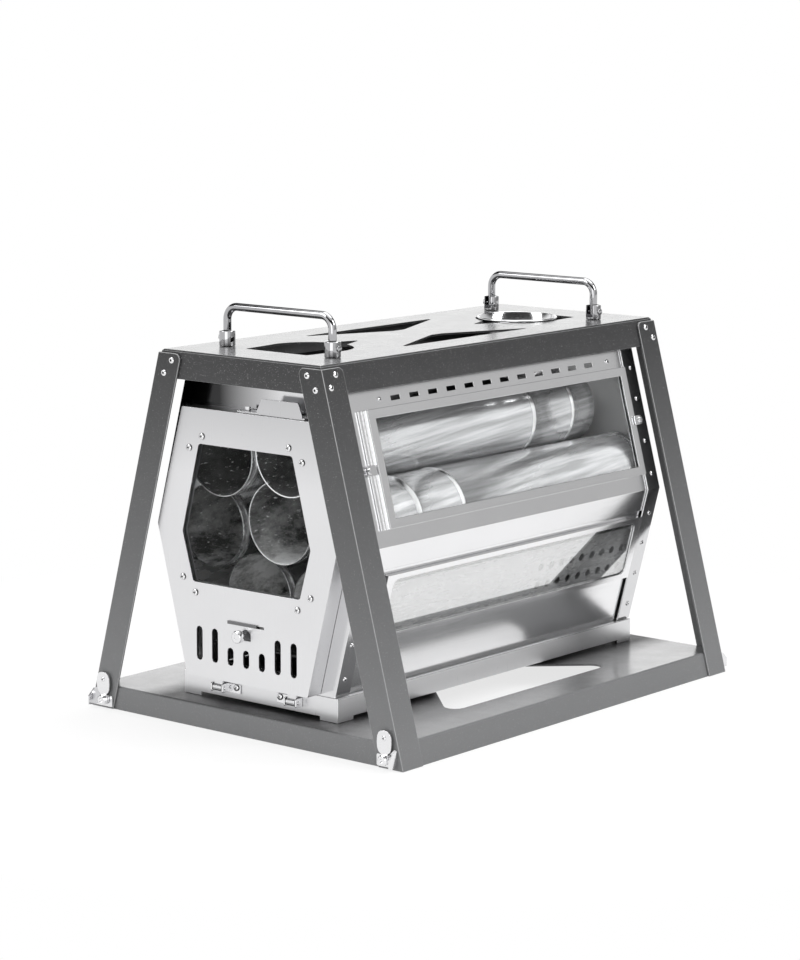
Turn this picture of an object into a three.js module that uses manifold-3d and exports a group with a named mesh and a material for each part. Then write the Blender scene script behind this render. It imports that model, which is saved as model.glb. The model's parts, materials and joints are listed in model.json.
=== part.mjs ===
// Tent wood stove: a hexagonal glass-sided firebox that stands in a folding carry frame,
// with its flue pipe sections stored inside. Millimetres, +Z up, the door faces -Y and the
// origin is at the middle of the frame on the ground.

import * as THREE from 'three';
import { mergeVertices } from 'three/addons/utils/BufferGeometryUtils.js';
import Module from 'manifold-3d';

const wasm = await Module();
wasm.setup();

// ---------------------------------------------------------------- driving dimensions

const gap = 0.3;                    // clearance between pieces that touch

// flue pipe sections
const pipeRadius = 40.9;
const pipeBead = 1.1;               // height of the rims and beads
const pipeWall = 0.9;
const spigotStep = 1.5;             // the spigot's radius is this much smaller
const pipeSpigotLength = 38;
const pipeLength = 440;
const pipeShortLength = 416;
const pipeRimWidth = 1.6;
const pipeCollarBead = 10;          // bead behind the open end
const pipeSpigotBead = 68;          // bead ahead of the shoulder
const pipeBeadWidth = 5;
const pipeSides = 20;

// how the pipes lie in the firebox, nested in each other's hollows
const pipeLeftX = -34;              // left one of the two that lie on the grate
const pipeBottomSpace = 7;          // between the rims of those two
const pipeStackAngle = 127.5;       // from each left-hand pipe up to the next one
const pipeRightAngle = 3.5;         // from the middle pipe to its right-hand neighbour
const pipeStagger = { bottomLeft: 38, bottomRight: 32, middleLeft: 26, middle: 34, top: 4 };
const shortPipeRear = 4;            // the short pipe's rim to the firebox's end

// heights under the pipes
const baseHeight = 24;
const trayLift = 4;                 // base plate to the tray's floor
const trayDepth = 20;
const grateHeight = 34.7;           // tray's rim to the grate's upper face

// room round the stored pipes
const endRoom = 20;                 // each way along the firebox
const footRoom = 38.2;              // lower right pipe's axis to the panel's foot
const creaseRoom = 6.15;            // left-hand pipe's rim to the crease
const creaseLift = 3;               // crease above that pipe's axis
const roofRoom = 27.7;              // top pipe's rim to the panels' upper edge
const topTaper = 3.1;               // top half width is this much less than the foot's

// firebox panels
const bodySheet = 1.2;
const endSheet = 1.5;
const endWrap = 21;                 // width of the end plates' side strips
const lipDepth = 23;                // the upper panel is folded round the crease and down
const lowerPanelDrop = 6;           // lower panel's top edge below the crease
const roofFlange = 12;

// carry frame, measured from the firebox
const frameHeadroom = 24;           // firebox top to the plate's upper face
const frameEndRoom = 27.4;          // firebox end to the outer face of the legs' end webs
const frameTopRoom = 12;            // firebox top to the legs' outer edge
const frameFootSpread = 71.4;       // crease to the legs' outer edge on the ground
const legWeb = 30;                  // width of each web of the angle
const legSheet = 2;
const legDrop = 3;                  // leg tops end this far below the top plate
const legCornerRadius = 6;
const plateSheet = 2;
const plateBend = 1.5;              // chamfer that stands for the folded edge
const topFlange = 28;

// cut-outs of the top plate; the spears are measured from the flue's axis
const flueInset = 74;               // flue's axis to the firebox's end
const flueHoleRoom = 1.8;           // round the collar's rim
const ventTip = 76;                 // point that looks at the plate's middle
const ventBarb = [37, 25];
const ventNotch = [15, 37];
const ventCorner = [40, 48];
const ventShoulder = 6;
const sideVentInset = 39.1;         // straight outer edge to the legs' edge
const sideVentEnd = 60;             // short of the flue's axis
const sideVentApex = [25, 9];
const ventCornerRadius = 2;

// cut-outs of the base plate
const baseVentInset = 52.2;         // to the legs' outer edge
const baseVentWidth = 90;
const baseVentEnd = 129.4;          // to the frame's end
const baseVentTaper = 86;
const baseVentRadius = 11;

// carry handles
const handleInset = 36.1;           // bar's axis to the legs' top edge
const handleEndInset = 58.4;        // bar's axis to the frame's end
const handleRadius = 4;
const handleRise = 39.5;            // plate to the middle of the grip
const handleBend = 13;
const handlePivotRise = 8.5;
const handleTail = 3.2;             // bar below the pivot
const socketRadius = 8;
const socketHeight = 15;
const socketChamfer = 0.8;
const slotFloor = 2.6;
const slotBack = 5.6;               // slot runs this far behind the pivot
const slotClearance = 0.3;
const pinRadius = 2;
const pinClearance = 0.25;
const pinHead = [3.2, 1.2];         // radius and height of the cross pin's head

// frame latches
const latchInset = 20.2;            // pivot to the leg's outer edge on the ground
const latchPivotZ = 9.2;
const latchPlateRise = 16.8;        // pivot to the middle of the thumb plate
const latchPlateHalf = [8.8, 11.6];
const latchPlateSheet = 1.8;
const latchBossRadius = 4.6;
const latchShank = 2.4;
const latchBoltRadius = 5.4;
const latchBoltHead = 3.2;
const latchBracketSheet = 1.5;
const latchFootReach = 10.5;        // bracket's foot inwards of the pivot
const latchEarReach = 13.5;         // bracket's ear outwards of the pivot
const latchEarTop = 20;
const latchEarDepth = 10;

// tray below the firebox
const trayEdge = 5.4;               // beyond the panels' foot
const trayRearInset = 2;
const traySheet = 1.5;
const trayRim = 9;
const footLength = 23;

// door: half widths less than the firebox's at foot, crease and top
const doorDepth = 19;               // firebox front to the door's outer face
const doorInset = [16.2, 16.3, 9.8];
const doorBottomLift = 1.5;
const doorCreaseLift = 2;
const doorTopDrop = 31;
const doorSheet = 1.5;
const doorSeat = 0.4;               // flange to the firebox front
const doorwayInset = 14;
const windowTop = [21.8, 34.7];     // window's corners, in from the door's edge and down from its top
const windowCrease = [33.3, 4];
const windowBottom = [9.5, 94];
const doorWindowCorner = 3;
const doorGlassSheet = 4;
const doorGlassLap = 7;
const retainerLap = 10;
const retainerSheet = 1.4;

// air inlet of the door, measured from the foot of its slots
const airLift = 16.5;               // above the door's lower edge
const airPitch = 20.5;
const airWidth = 8;
const airTall = 34.2;
const airShort = 18.2;
const archHalf = 6.3;
const archFloor = 27.8;
const archStraight = 4.5;
const slitHalf = 23.5;
const slitRise = 43;
const slitHeight = 2.6;
const damperSheet = 1.2;
const damperTravel = 8;
const damperEdge = 6.5;             // slide beyond the outer slots
const damperTop = 38.5;
const damperFoot = 5;
const damperLip = 3;
const stemRadius = 2;
const knobRadius = 6.2;
const knobLength = 7;
const knobStandOff = 3.5;

// door hinges
const hingeAhead = 6;               // axis in front of the firebox
const hingeLift = 10.5;             // axis above the tray's floor
const hingeX = 48;
const hingeHalf = 8;
const hingePinRadius = 1.75;
const hingePinClearance = 0.25;
const hingeEarSheet = 1.6;
const hingeEarHeight = 9;
const hingePadReach = 24;           // inner end of the riveted pad
const lugHalf = 5.5;
const lugSheet = 2;
const lugEyeRadius = 3.8;

// door latch
const latchLeverX = -5;
const latchLeverAhead = 8;          // pivot in front of the firebox
const latchLeverRise = 0.4;
const latchLeverSheet = 1.5;
const latchLeverInset = 8.3;        // lever's end to the door's top corner
const latchLeverBehind = 2.6;       // lever's front edge behind the door's face
const latchLeverStandOff = 2;       // lever's rear edge ahead of the firebox
const latchNose = [17, 3];          // back from the lever's end
const latchNoseReach = 5.5;         // nose behind the firebox front
const latchTab = [[62, 0], [54, 14], [8, 14], [2, 0]];   // back from the lever's end, and up
const latchSlotMargin = [3.5, 5.5];
const latchSlotLift = 1.4;
const leverBoltRadius = 3.2;
const leverBoltShank = 1.8;
const leverBoltHead = 3.4;

// flue collar
const collarClearance = 0.4;        // round the first pipe's spigot
const collarWall = 1.2;
const collarFlangeWidth = 9.2;
const collarProud = 2.4;            // above the top plate
const collarBead = 1.2;

// side windows: glass openings in from the firebox's ends, and up or down from its edges
const upperOpening = { front: 50, rear: 32, bottom: 24.4, top: 34, radius: 0.5 };
const lowerOpening = { front: 52, rear: 32, bottom: 56, top: 34, radius: 7 };
const upperBezel = { front: 10, rear: 10, top: 9, bottom: 9 };
const lowerBezel = { front: 10, rear: 10, top: 5.5, bottom: 6 };
const sideGlassSheet = 2.4;
const bezelSheet = 1.5;
const bezelWall = 1.5;
const railWidth = 10.5;
const railHeight = 2.6;
const railRidge = 1.4;

// row of louvre slots above the upper window
const louvreCount = 12;
const louvrePitch = 28.4;
const louvreDrop = 17.7;            // below the panel's upper edge
const louvreLength = 14;
const louvreHeight = 4.6;
const louvreStart = 39.4;           // first slot behind the window's front edge

// window clips
const clipAhead = 25;               // front pivot ahead of the window
const clipBehind = 15;              // rear pivot behind it
const clipLength = 13;
const clipWidth = 10;
const clipSheet = 1.4;
const clipTail = 4;
const clipBossRadius = 3;
const clipHeadRadius = 3;
const clipHeadHeight = 1.4;

// fire grate and air ducts
const grateSheet = 2;
const grateSlotCount = 14;
const grateSlotPitch = 30;
const grateSlotWidth = 8;
const grateSlotHalf = 62;
const ductDepth = 5.8;
const ductLift = 3.3;               // above the grate
const ductDrop = 39;                // top below the crease
const ductInset = 4;                // to the firebox's ends
const ductHoleRadius = 4.8;
const ductHolePitch = 17.5;
const ductHoleSides = 6;
const ductHoleRows = [24, 44];      // above the duct's foot
const ductHoleStart = 175;          // first and last hole to the firebox's end
const ductHoleEnd = 30;

// ---------------------------------------------------------------- sizes that follow

const trayBottomZ = baseHeight + trayLift;
const bodyBottomZ = trayBottomZ + trayDepth;
const grateTopZ = bodyBottomZ + grateHeight;

// pipes: each bead rests on the tube of the next one
const pipeRim = pipeRadius + pipeBead;
const pipeSpigot = pipeRadius - spigotStep;
const nestReach = pipeRadius + pipeRim + gap;

function nested(from, degrees) {
  const angle = (degrees * Math.PI) / 180;
  return { x: from.x + nestReach * Math.cos(angle), z: from.z + nestReach * Math.sin(angle) };
}

const bottomLeft = { x: pipeLeftX, z: grateTopZ + gap + pipeRim };
const bottomRight = { x: pipeLeftX + 2 * pipeRim + pipeBottomSpace, z: bottomLeft.z };
const middleLeft = nested(bottomLeft, pipeStackAngle);
const middle = nested(bottomLeft, pipeStackAngle - 60);
const middleRight = nested(middle, pipeRightAngle);
const topLeft = nested(middle, pipeStackAngle);
const topRight = nested(middleRight, pipeRightAngle + 120);

// firebox: half widths are of the panels' outer faces
const bodyHalfLength = pipeLength / 2 + endRoom;
const bodyBottomHalf = bottomRight.x + footRoom;
const creaseZ = middleLeft.z + creaseLift;
const creaseHalf = -middleLeft.x + pipeRim + creaseRoom;
const bodyTopZ = topRight.z + pipeRim + roofRoom;
const bodyTopHalf = bodyBottomHalf - topTaper;
const lipBottomZ = creaseZ - lipDepth;
const lowerPanelTopZ = creaseZ - lowerPanelDrop;
const trayHalf = bodyBottomHalf + trayEdge;
const trayRear = bodyHalfLength - trayRearInset;
const flueY = bodyHalfLength - flueInset;

// carry frame
const frameHeight = bodyTopZ + frameHeadroom;
const frameHalfLength = bodyHalfLength + frameEndRoom;
const frameHalfTop = bodyTopHalf + frameTopRoom;
const frameHalfFoot = creaseHalf + frameFootSpread;
const handleX = frameHalfTop - handleInset;
const handleY = frameHalfLength - handleEndInset;
const latchX = frameHalfFoot - latchInset;
const latchPlateZ = latchPivotZ + latchPlateRise;

// flue collar and its hole in the top plate
const collarBore = pipeSpigot + collarClearance;
const collarRim = collarBore + collarWall + collarBead;
const flueHoleRadius = collarRim + flueHoleRoom;

// door
const doorY = -bodyHalfLength - doorDepth;
const doorBottom = [bodyBottomHalf - doorInset[0], bodyBottomZ + doorBottomLift];
const doorCrease = [creaseHalf - doorInset[1], creaseZ + doorCreaseLift];
const doorTop = [bodyTopHalf - doorInset[2], bodyTopZ - doorTopDrop];
const doorWindow = [
  [doorTop[0] - windowTop[0], doorTop[1] - windowTop[1]],
  [doorCrease[0] - windowCrease[0], doorCrease[1] - windowCrease[1]],
  [doorBottom[0] - windowBottom[0], doorBottom[1] + windowBottom[1]],
];
const airBottomZ = doorBottom[1] + airLift;
const archFloorZ = airBottomZ + archFloor;
const archCentreZ = archFloorZ + archStraight;
const slitZ = airBottomZ + slitRise;
const damperHalf = 3 * airPitch + airWidth / 2 + damperEdge;
const damperTopZ = airBottomZ + damperTop;
const damperBottomZ = airBottomZ - damperFoot;
const hingeY = -bodyHalfLength - hingeAhead;
const hingeZ = trayBottomZ + hingeLift;
const latchLeverY = -bodyHalfLength - latchLeverAhead;
const latchLeverFront = doorY + latchLeverBehind;
const latchLeverBack = -bodyHalfLength - latchLeverStandOff;
const latchLeverEnd = doorTop[0] - latchLeverInset;
const latchNoseX = latchNose.map((back) => latchLeverEnd - back);

// side windows and what lines up with them
const upperGlass = {
  y0: -bodyHalfLength + upperOpening.front,
  y1: bodyHalfLength - upperOpening.rear,
  z0: creaseZ + upperOpening.bottom,
  z1: bodyTopZ - upperOpening.top,
};
const lowerGlass = {
  y0: -bodyHalfLength + lowerOpening.front,
  y1: bodyHalfLength - lowerOpening.rear,
  z0: bodyBottomZ + lowerOpening.bottom,
  z1: creaseZ - lowerOpening.top,
};
const louvreZ = bodyTopZ - louvreDrop;
const louvreFirstY = upperGlass.y0 + louvreStart;
const clipZ = (upperGlass.z0 + upperGlass.z1) / 2;
const clipFrontY = upperGlass.y0 - clipAhead;
const clipRearY = upperGlass.y1 + clipBehind;
const clipRise = gap + sideGlassSheet + gap + bezelSheet + 2 * gap;   // underside above the panel's face
const ductHalf = bodyHalfLength - ductInset;
const ductBottomZ = grateTopZ + ductLift;
const ductTopZ = creaseZ - ductDrop;

// ---------------------------------------------------------------- materials

const paint = new THREE.MeshStandardMaterial({ color: 0x4a4c4e, roughness: 0.5, metalness: 0.3 });
const steel = new THREE.MeshStandardMaterial({ color: 0xcfd1d3, roughness: 0.32, metalness: 1 });
const brightSteel = new THREE.MeshStandardMaterial({ color: 0xdcdee0, roughness: 0.16, metalness: 1 });
const pipeSteel = new THREE.MeshStandardMaterial({ color: 0xd2d4d6, roughness: 0.1, metalness: 1 });
const chrome = new THREE.MeshStandardMaterial({ color: 0xe4e6e8, roughness: 0.06, metalness: 1 });
const darkSteel = new THREE.MeshStandardMaterial({ color: 0x55575a, roughness: 0.5, metalness: 0.9 });
const glass = new THREE.MeshStandardMaterial({
  color: 0xe8ecee, roughness: 0.03, metalness: 0, transparent: true, opacity: 0.2,
});

// ---------------------------------------------------------------- solids

function solid(geometry) {
  const bare = geometry.clone();
  bare.deleteAttribute('normal');
  bare.deleteAttribute('uv');
  const merged = mergeVertices(bare, 1e-4);
  return new wasm.Manifold(new wasm.Mesh({
    numProp: 3,
    vertProperties: new Float32Array(merged.attributes.position.array),
    triVerts: new Uint32Array(merged.index.array),
  }));
}

function geometryOf(body) {
  const mesh = body.getMesh();
  const geometry = new THREE.BufferGeometry();
  geometry.setAttribute('position', new THREE.BufferAttribute(new Float32Array(mesh.vertProperties), 3));
  geometry.setIndex(new THREE.BufferAttribute(new Uint32Array(mesh.triVerts), 1));
  return geometry;
}

function mirrored(geometry, x, y) {
  const copy = geometry.clone();
  copy.applyMatrix4(new THREE.Matrix4().makeScale(x, y, 1));
  if (x * y < 0) {
    const index = copy.index.array;
    for (let i = 0; i < index.length; i += 3) {
      [index[i + 1], index[i + 2]] = [index[i + 2], index[i + 1]];
    }
  }
  return copy;
}

// A closed outline with tangent arcs of the given radius at its corners.
function outline(points, radius = 0, steps = 4) {
  const count = points.length;
  const out = [];
  points.forEach((corner, i) => {
    const here = new THREE.Vector2(...corner);
    const r = corner[2] ?? radius;
    const before = new THREE.Vector2(...points[(i + count - 1) % count]).sub(here);
    const after = new THREE.Vector2(...points[(i + 1) % count]).sub(here);
    const half = Math.acos(before.dot(after) / (before.length() * after.length())) / 2;
    const limit = Math.min(before.length(), after.length()) * 0.48;
    const run = Math.min(r / Math.tan(half), limit);
    if (run < 0.05) {
      out.push(here);
      return;
    }
    const arc = run * Math.tan(half);
    const centre = before.clone().normalize().add(after.clone().normalize()).normalize()
      .multiplyScalar(arc / Math.sin(half)).add(here);
    const start = before.clone().normalize().multiplyScalar(run).add(here).sub(centre);
    const end = after.clone().normalize().multiplyScalar(run).add(here).sub(centre);
    const from = start.angle();
    let turn = end.angle() - from;
    if (turn > Math.PI) turn -= 2 * Math.PI;
    if (turn < -Math.PI) turn += 2 * Math.PI;
    for (let k = 0; k <= steps; k += 1) {
      const angle = from + (turn * k) / steps;
      out.push(new THREE.Vector2(centre.x + arc * Math.cos(angle), centre.y + arc * Math.sin(angle)));
    }
  });
  return out;
}

function ring(radius, x = 0, y = 0, sides = 32) {
  return Array.from({ length: sides }, (_, i) => {
    const angle = (2 * Math.PI * i) / sides;
    return new THREE.Vector2(x + radius * Math.cos(angle), y + radius * Math.sin(angle));
  });
}

const vectors = (points) => points.map((p) => (p.isVector2 ? p : new THREE.Vector2(p[0], p[1])));

function slab(points, depth, basis) {
  const geometry = new THREE.ExtrudeGeometry(new THREE.Shape(vectors(points)), {
    depth, bevelEnabled: false, steps: 1,
  });
  geometry.applyMatrix4(basis);
  return solid(geometry);
}

const axes = (a, b, c, origin = [0, 0, 0]) => new THREE.Matrix4()
  .makeBasis(new THREE.Vector3(...a), new THREE.Vector3(...b), new THREE.Vector3(...c))
  .setPosition(...origin);

// outline in (x, z), from y0 to y1
const alongY = (points, y0, y1) => slab(points, y1 - y0, axes([1, 0, 0], [0, 0, 1], [0, -1, 0], [0, y1, 0]));
// outline in (y, z), from x0 to x1
const alongX = (points, x0, x1) => slab(points, x1 - x0, axes([0, 1, 0], [0, 0, 1], [1, 0, 0], [x0, 0, 0]));
// outline in (x, y), from z0 to z1
const alongZ = (points, z0, z1) => slab(points, z1 - z0, axes([1, 0, 0], [0, 1, 0], [0, 0, 1], [0, 0, z0]));

function box(x0, x1, y0, y1, z0, z1) {
  const geometry = new THREE.BoxGeometry(x1 - x0, y1 - y0, z1 - z0);
  geometry.translate((x0 + x1) / 2, (y0 + y1) / 2, (z0 + z1) / 2);
  return solid(geometry);
}

// A turned piece: profile of [radius, height] pairs, axis along `direction` from `origin`.
function turned(profile, origin, direction = [0, 0, 1], sides = 24) {
  const geometry = new THREE.LatheGeometry(vectors(profile), sides);
  const turn = new THREE.Quaternion()
    .setFromUnitVectors(new THREE.Vector3(0, 1, 0), new THREE.Vector3(...direction).normalize());
  geometry.applyQuaternion(turn);
  geometry.translate(...origin);
  return solid(geometry);
}

const rod = (radius, length, origin, direction, sides = 16) => (
  turned([[0, 0], [radius, 0], [radius, length], [0, length]], origin, direction, sides));

const rectangle = (x0, x1, y0, y1) => [[x0, y0], [x1, y0], [x1, y1], [x0, y1]];
const symmetric = (points) => [...points, ...points.map(([x, y, r]) => [-x, y, r]).reverse()];

// ---------------------------------------------------------------- the sloping faces

const lowerSlope = (creaseHalf - bodyBottomHalf) / (creaseZ - bodyBottomZ);
const upperSlope = (creaseHalf - bodyTopHalf) / (bodyTopZ - creaseZ);
const lowerTilt = Math.hypot(1, lowerSlope);
const upperTilt = Math.hypot(1, upperSlope);

// half width of the firebox at a height, for a surface `offset` outside the panels' faces
const lowerX = (z, offset = 0) => bodyBottomHalf + (z - bodyBottomZ) * lowerSlope + offset * lowerTilt;
const upperX = (z, offset = 0) => bodyTopHalf + (bodyTopZ - z) * upperSlope + offset * upperTilt;
const creaseAt = (offset) => (
  (upperX(0, offset) - lowerX(0, offset)) / (lowerSlope + upperSlope));

function halfSection(offset, z0, z1) {
  const z = creaseAt(offset);
  return [[lowerX(z0, offset), z0], [lowerX(z, offset), z], [upperX(z1, offset), z1]];
}

const section = (offset, z0, z1) => symmetric(halfSection(offset, z0, z1));

// frames of the right-hand faces: along Y, up the slope, outwards
const upperFace = {
  basis: axes([0, 1, 0], [-upperSlope / upperTilt, 0, 1 / upperTilt],
    [1 / upperTilt, 0, upperSlope / upperTilt], [creaseHalf, 0, creaseZ]),
  up: (z) => (z - creaseZ) * upperTilt,
};
const lowerFace = {
  basis: axes([0, 1, 0], [lowerSlope / lowerTilt, 0, 1 / lowerTilt],
    [1 / lowerTilt, 0, -lowerSlope / lowerTilt], [creaseHalf, 0, creaseZ]),
  up: (z) => (z - creaseZ) * lowerTilt,
};

function onFace(face, points, n0, n1) {
  const basis = face.basis.clone().multiply(new THREE.Matrix4().makeTranslation(0, 0, n0));
  return slab(points, n1 - n0, basis);
}

const windowRect = (face, w, grow = { front: 0, rear: 0, top: 0, bottom: 0 }) => rectangle(
  w.y0 - grow.front, w.y1 + grow.rear, face.up(w.z0) - grow.bottom, face.up(w.z1) + grow.top);

// ---------------------------------------------------------------- carry frame

const legSlope = (frameHalfFoot - frameHalfTop) / frameHeight;
const legSheetX = legSheet * Math.hypot(1, legSlope);
const legHalf = (z) => frameHalfFoot - legSlope * z;
const plateHalf = (z) => legHalf(z) - legSheetX - gap;
const plateHalfLength = frameHalfLength - legSheet - gap;
const plateSheetX = plateSheet * Math.hypot(1, legSlope);

function foldedPlate(z0, z1) {
  const outer = symmetric([[plateHalf(z0), z0], [plateHalf(z1 - plateBend), z1 - plateBend],
    [plateHalf(z1) - plateBend, z1]]);
  const ends = symmetric([[plateHalfLength, z0], [plateHalfLength, z1 - plateBend],
    [plateHalfLength - plateBend, z1]]);
  const inner = symmetric([[plateHalf(z0 - 5) - plateSheetX, z0 - 5],
    [plateHalf(z1 - plateSheet) - plateSheetX, z1 - plateSheet]]);
  const reach = plateHalfLength - plateSheet;
  return alongY(outer, -plateHalfLength, plateHalfLength)
    .intersect(alongX(ends, -frameHalfFoot, frameHalfFoot))
    .subtract(alongY(inner, -reach, reach));
}

function flueVent(side) {
  const half = [[ventNotch[0], flueY - ventNotch[1]], [ventBarb[0], flueY - ventBarb[1]],
    [flueHoleRadius, flueY - ventShoulder], [ventCorner[0], flueY + ventCorner[1]]];
  const points = [[0, flueY - ventTip], ...symmetric(half)];
  const spear = outline(points.map(([x, y]) => [x, y * side]), ventCornerRadius, 2);
  const z0 = frameHeight - topFlange;
  return alongZ(side > 0 ? spear : spear.reverse(), z0, frameHeight + 5)
    .add(alongZ(ring(flueHoleRadius, 0, flueY * side, 32), z0, frameHeight + 5));
}

function sideVent(side) {
  const sideVentX = frameHalfTop - sideVentInset;
  const sideVentHalf = flueY - sideVentEnd;
  const points = [[side * sideVentX, -sideVentHalf], [side * sideVentX, sideVentHalf],
    [side * sideVentApex[0], sideVentApex[1]], [side * sideVentApex[0], -sideVentApex[1]]];
  const shape = outline(points, ventCornerRadius, 2);
  return alongZ(side > 0 ? shape : shape.reverse(), frameHeight - topFlange, frameHeight + 5);
}

function topPlate() {
  return foldedPlate(frameHeight - topFlange, frameHeight)
    .subtract(flueVent(1)).subtract(flueVent(-1))
    .subtract(sideVent(1)).subtract(sideVent(-1));
}

function baseVent(side) {
  const outer = frameHalfFoot - baseVentInset;
  const inner = outer - baseVentWidth;
  const outerHalf = frameHalfLength - baseVentEnd;
  const innerHalf = outerHalf - baseVentTaper;
  const points = [[side * inner, -innerHalf], [side * outer, -outerHalf],
    [side * outer, outerHalf], [side * inner, innerHalf]];
  const shape = outline(points, baseVentRadius, 5);
  return alongZ(side > 0 ? shape : shape.reverse(), -5, baseHeight + 5);
}

const basePlate = () => foldedPlate(0, baseHeight).subtract(baseVent(1)).subtract(baseVent(-1));

// front right leg: an angle with its corner on the frame's sloping edge
function leg() {
  const top = frameHeight - legDrop;
  const y0 = -frameHalfLength;
  const endWeb = outline([[legHalf(0), 0], [legHalf(top), top],
    [legHalf(top) - legWeb, top, legCornerRadius], [legHalf(0) - legWeb, 0]], 0, 4);
  const sideWeb = [[legHalf(0), 0], [legHalf(top), top], [legHalf(top) - legSheetX, top],
    [legHalf(0) - legSheetX, 0]];
  const sideOutline = outline([[y0, 0], [y0 + legWeb, 0], [y0 + legWeb, top, legCornerRadius],
    [y0, top]], 0, 4);
  return alongY(endWeb, y0, y0 + legSheet)
    .add(alongY(sideWeb, y0, y0 + legWeb).intersect(alongX(sideOutline, 0, frameHalfFoot + 5)));
}

// ---------------------------------------------------------------- carry handles

const pivotZ = frameHeight + handlePivotRise;

// the bar's middle line: up, round a bend, across, round a bend, down
class BarLine extends THREE.Curve {
  constructor() {
    super();
    const grip = frameHeight + handleRise;
    const end = pivotZ - handleTail;
    this.stations = [[-handleX, end], [-handleX, (end + grip - handleBend) / 2]];
    for (let k = 0; k <= 4; k += 1) {
      const a = (Math.PI / 2) * (k / 4);
      this.stations.push([-handleX + handleBend * (1 - Math.cos(a)), grip - handleBend * (1 - Math.sin(a))]);
    }
    this.stations.push([0, grip]);
    this.stations = [...this.stations, ...this.stations.slice(0, -1).reverse().map(([x, z]) => [-x, z])];
    this.steps = this.stations.length - 1;
  }

  getPointAt(u) {
    const [x, z] = this.stations[Math.round(u * this.steps)];
    return new THREE.Vector3(x, 0, z);
  }

  getTangentAt(u) {
    const i = Math.round(u * this.steps);
    const a = this.stations[Math.max(0, i - 1)];
    const b = this.stations[Math.min(this.steps, i + 1)];
    return new THREE.Vector3(b[0] - a[0], 0, b[1] - a[1]).normalize();
  }

  getPoint(t) {
    return this.getPointAt(t);
  }
}

function handle() {
  const line = new BarLine();
  const geometry = new THREE.ExtrudeGeometry(new THREE.Shape(ring(handleRadius, 0, 0, 10)), {
    steps: line.steps, extrudePath: line, bevelEnabled: false,
  });
  geometry.translate(0, -handleY, 0);
  const reach = handleX + 2 * handleRadius;
  return solid(geometry)
    .subtract(rod(pinRadius + pinClearance, 2 * reach, [-reach, -handleY, pivotZ], [1, 0, 0], 10));
}

// front right socket: a clevis that opens towards the middle of the plate, with its cross pin
function socket() {
  const r = socketRadius;
  const base = frameHeight + gap;
  const cup = turned([[0, 0], [r, 0], [r, socketHeight - socketChamfer], [r - socketChamfer, socketHeight],
    [0, socketHeight]], [handleX, -handleY, base], [0, 0, 1], 16);
  const half = handleRadius + slotClearance;
  const slot = box(handleX - half, handleX + half, -handleY - slotBack, -handleY + r + 1,
    base + slotFloor, base + socketHeight + 5);
  const pin = rod(pinRadius, 2 * r - 1, [handleX - r + 0.5, -handleY, pivotZ], [1, 0, 0], 10);
  const head = rod(pinHead[0], pinHead[1] + 1, [handleX + r - 1, -handleY, pivotZ], [1, 0, 0], 10);
  return cup.subtract(slot).add(pin).add(head);
}

// ---------------------------------------------------------------- frame latches

const latchFace = -frameHalfLength;   // front face of the front legs
const latchLeverFace = latchFace - gap - latchBracketSheet - gap;

// front right bracket with its pivot bolt: foot against the leg and an ear folded forward
function latchBracket() {
  const y1 = latchFace - gap;
  const y0 = y1 - latchBracketSheet;
  const latchFootInner = latchX - latchFootReach;
  const latchEarX = latchX + latchEarReach;
  const foot = outline([[latchFootInner, 2.4], [latchEarX, 2.4], [latchEarX, latchEarTop],
    [latchEarX - 3, latchEarTop], [latchX + latchBossRadius, latchPivotZ + latchBossRadius],
    [latchFootInner, latchPivotZ + latchBossRadius]], 1.5, 2);
  const earFront = y0 - latchEarDepth;
  const ear = [[earFront, 3.5], [y1, 2.6], [y1, latchEarTop - 0.4], [y0 - 2, latchEarTop - 0.6],
    [earFront, latchEarTop * 0.62]];
  const shank = rod(latchShank, latchBracketSheet + gap + latchPlateSheet + gap + 0.5,
    [latchX, y0 + 0.5, latchPivotZ], [0, -1, 0], 10);
  const headY = latchLeverFace - latchPlateSheet - gap;
  const head = turned([[0, 0], [latchBoltRadius, 0], [latchBoltRadius, latchBoltHead - 0.8],
    [latchBoltRadius - 1, latchBoltHead], [2.2, latchBoltHead], [2.2, latchBoltHead - 1.2],
    [0, latchBoltHead - 1.2]], [latchX, headY, latchPivotZ], [0, -1, 0], 12);
  return alongY(foot, y0, y1)
    .add(alongX(ear, latchEarX - latchBracketSheet, latchEarX))
    .add(shank).add(head);
}

// front right lever: an oval thumb plate on a boss round the bolt
function latchLever() {
  const [a, b] = latchPlateHalf;
  const oval = Array.from({ length: 16 }, (_, i) => {
    const t = (2 * Math.PI * i) / 16;
    const sign = (v) => Math.sign(v) * Math.abs(v) ** 0.75;
    return [latchX + a * sign(Math.cos(t)), latchPlateZ + b * sign(Math.sin(t))];
  });
  const y0 = latchLeverFace - latchPlateSheet;
  const neck = [[latchX - 3.4, latchPivotZ], [latchX + 3.4, latchPivotZ], [latchX + 4.6, latchPlateZ],
    [latchX - 4.6, latchPlateZ]];
  return alongY(oval, y0, latchLeverFace)
    .add(alongY(neck, y0, latchLeverFace))
    .add(alongY(ring(latchBossRadius, latchX, latchPivotZ, 12), y0, latchLeverFace))
    .subtract(alongY(ring(latchShank + gap, latchX, latchPivotZ, 10), y0 - 1, latchLeverFace + 1));
}

// ---------------------------------------------------------------- firebox shell

const seatZ = bodyBottomZ + gap;      // lower edge of everything that stands on the tray

// end plate with strips folded back over the sides; faces -Y
function endPlate() {
  const y0 = -bodyHalfLength;
  const outerShell = alongY(section(gap + endSheet, seatZ, bodyTopZ), y0, y0 + endWrap);
  const hollow = alongY(section(gap, seatZ - 5, bodyTopZ + 5), y0 + endSheet, y0 + endWrap + 5);
  return outerShell.subtract(hollow);
}

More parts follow.
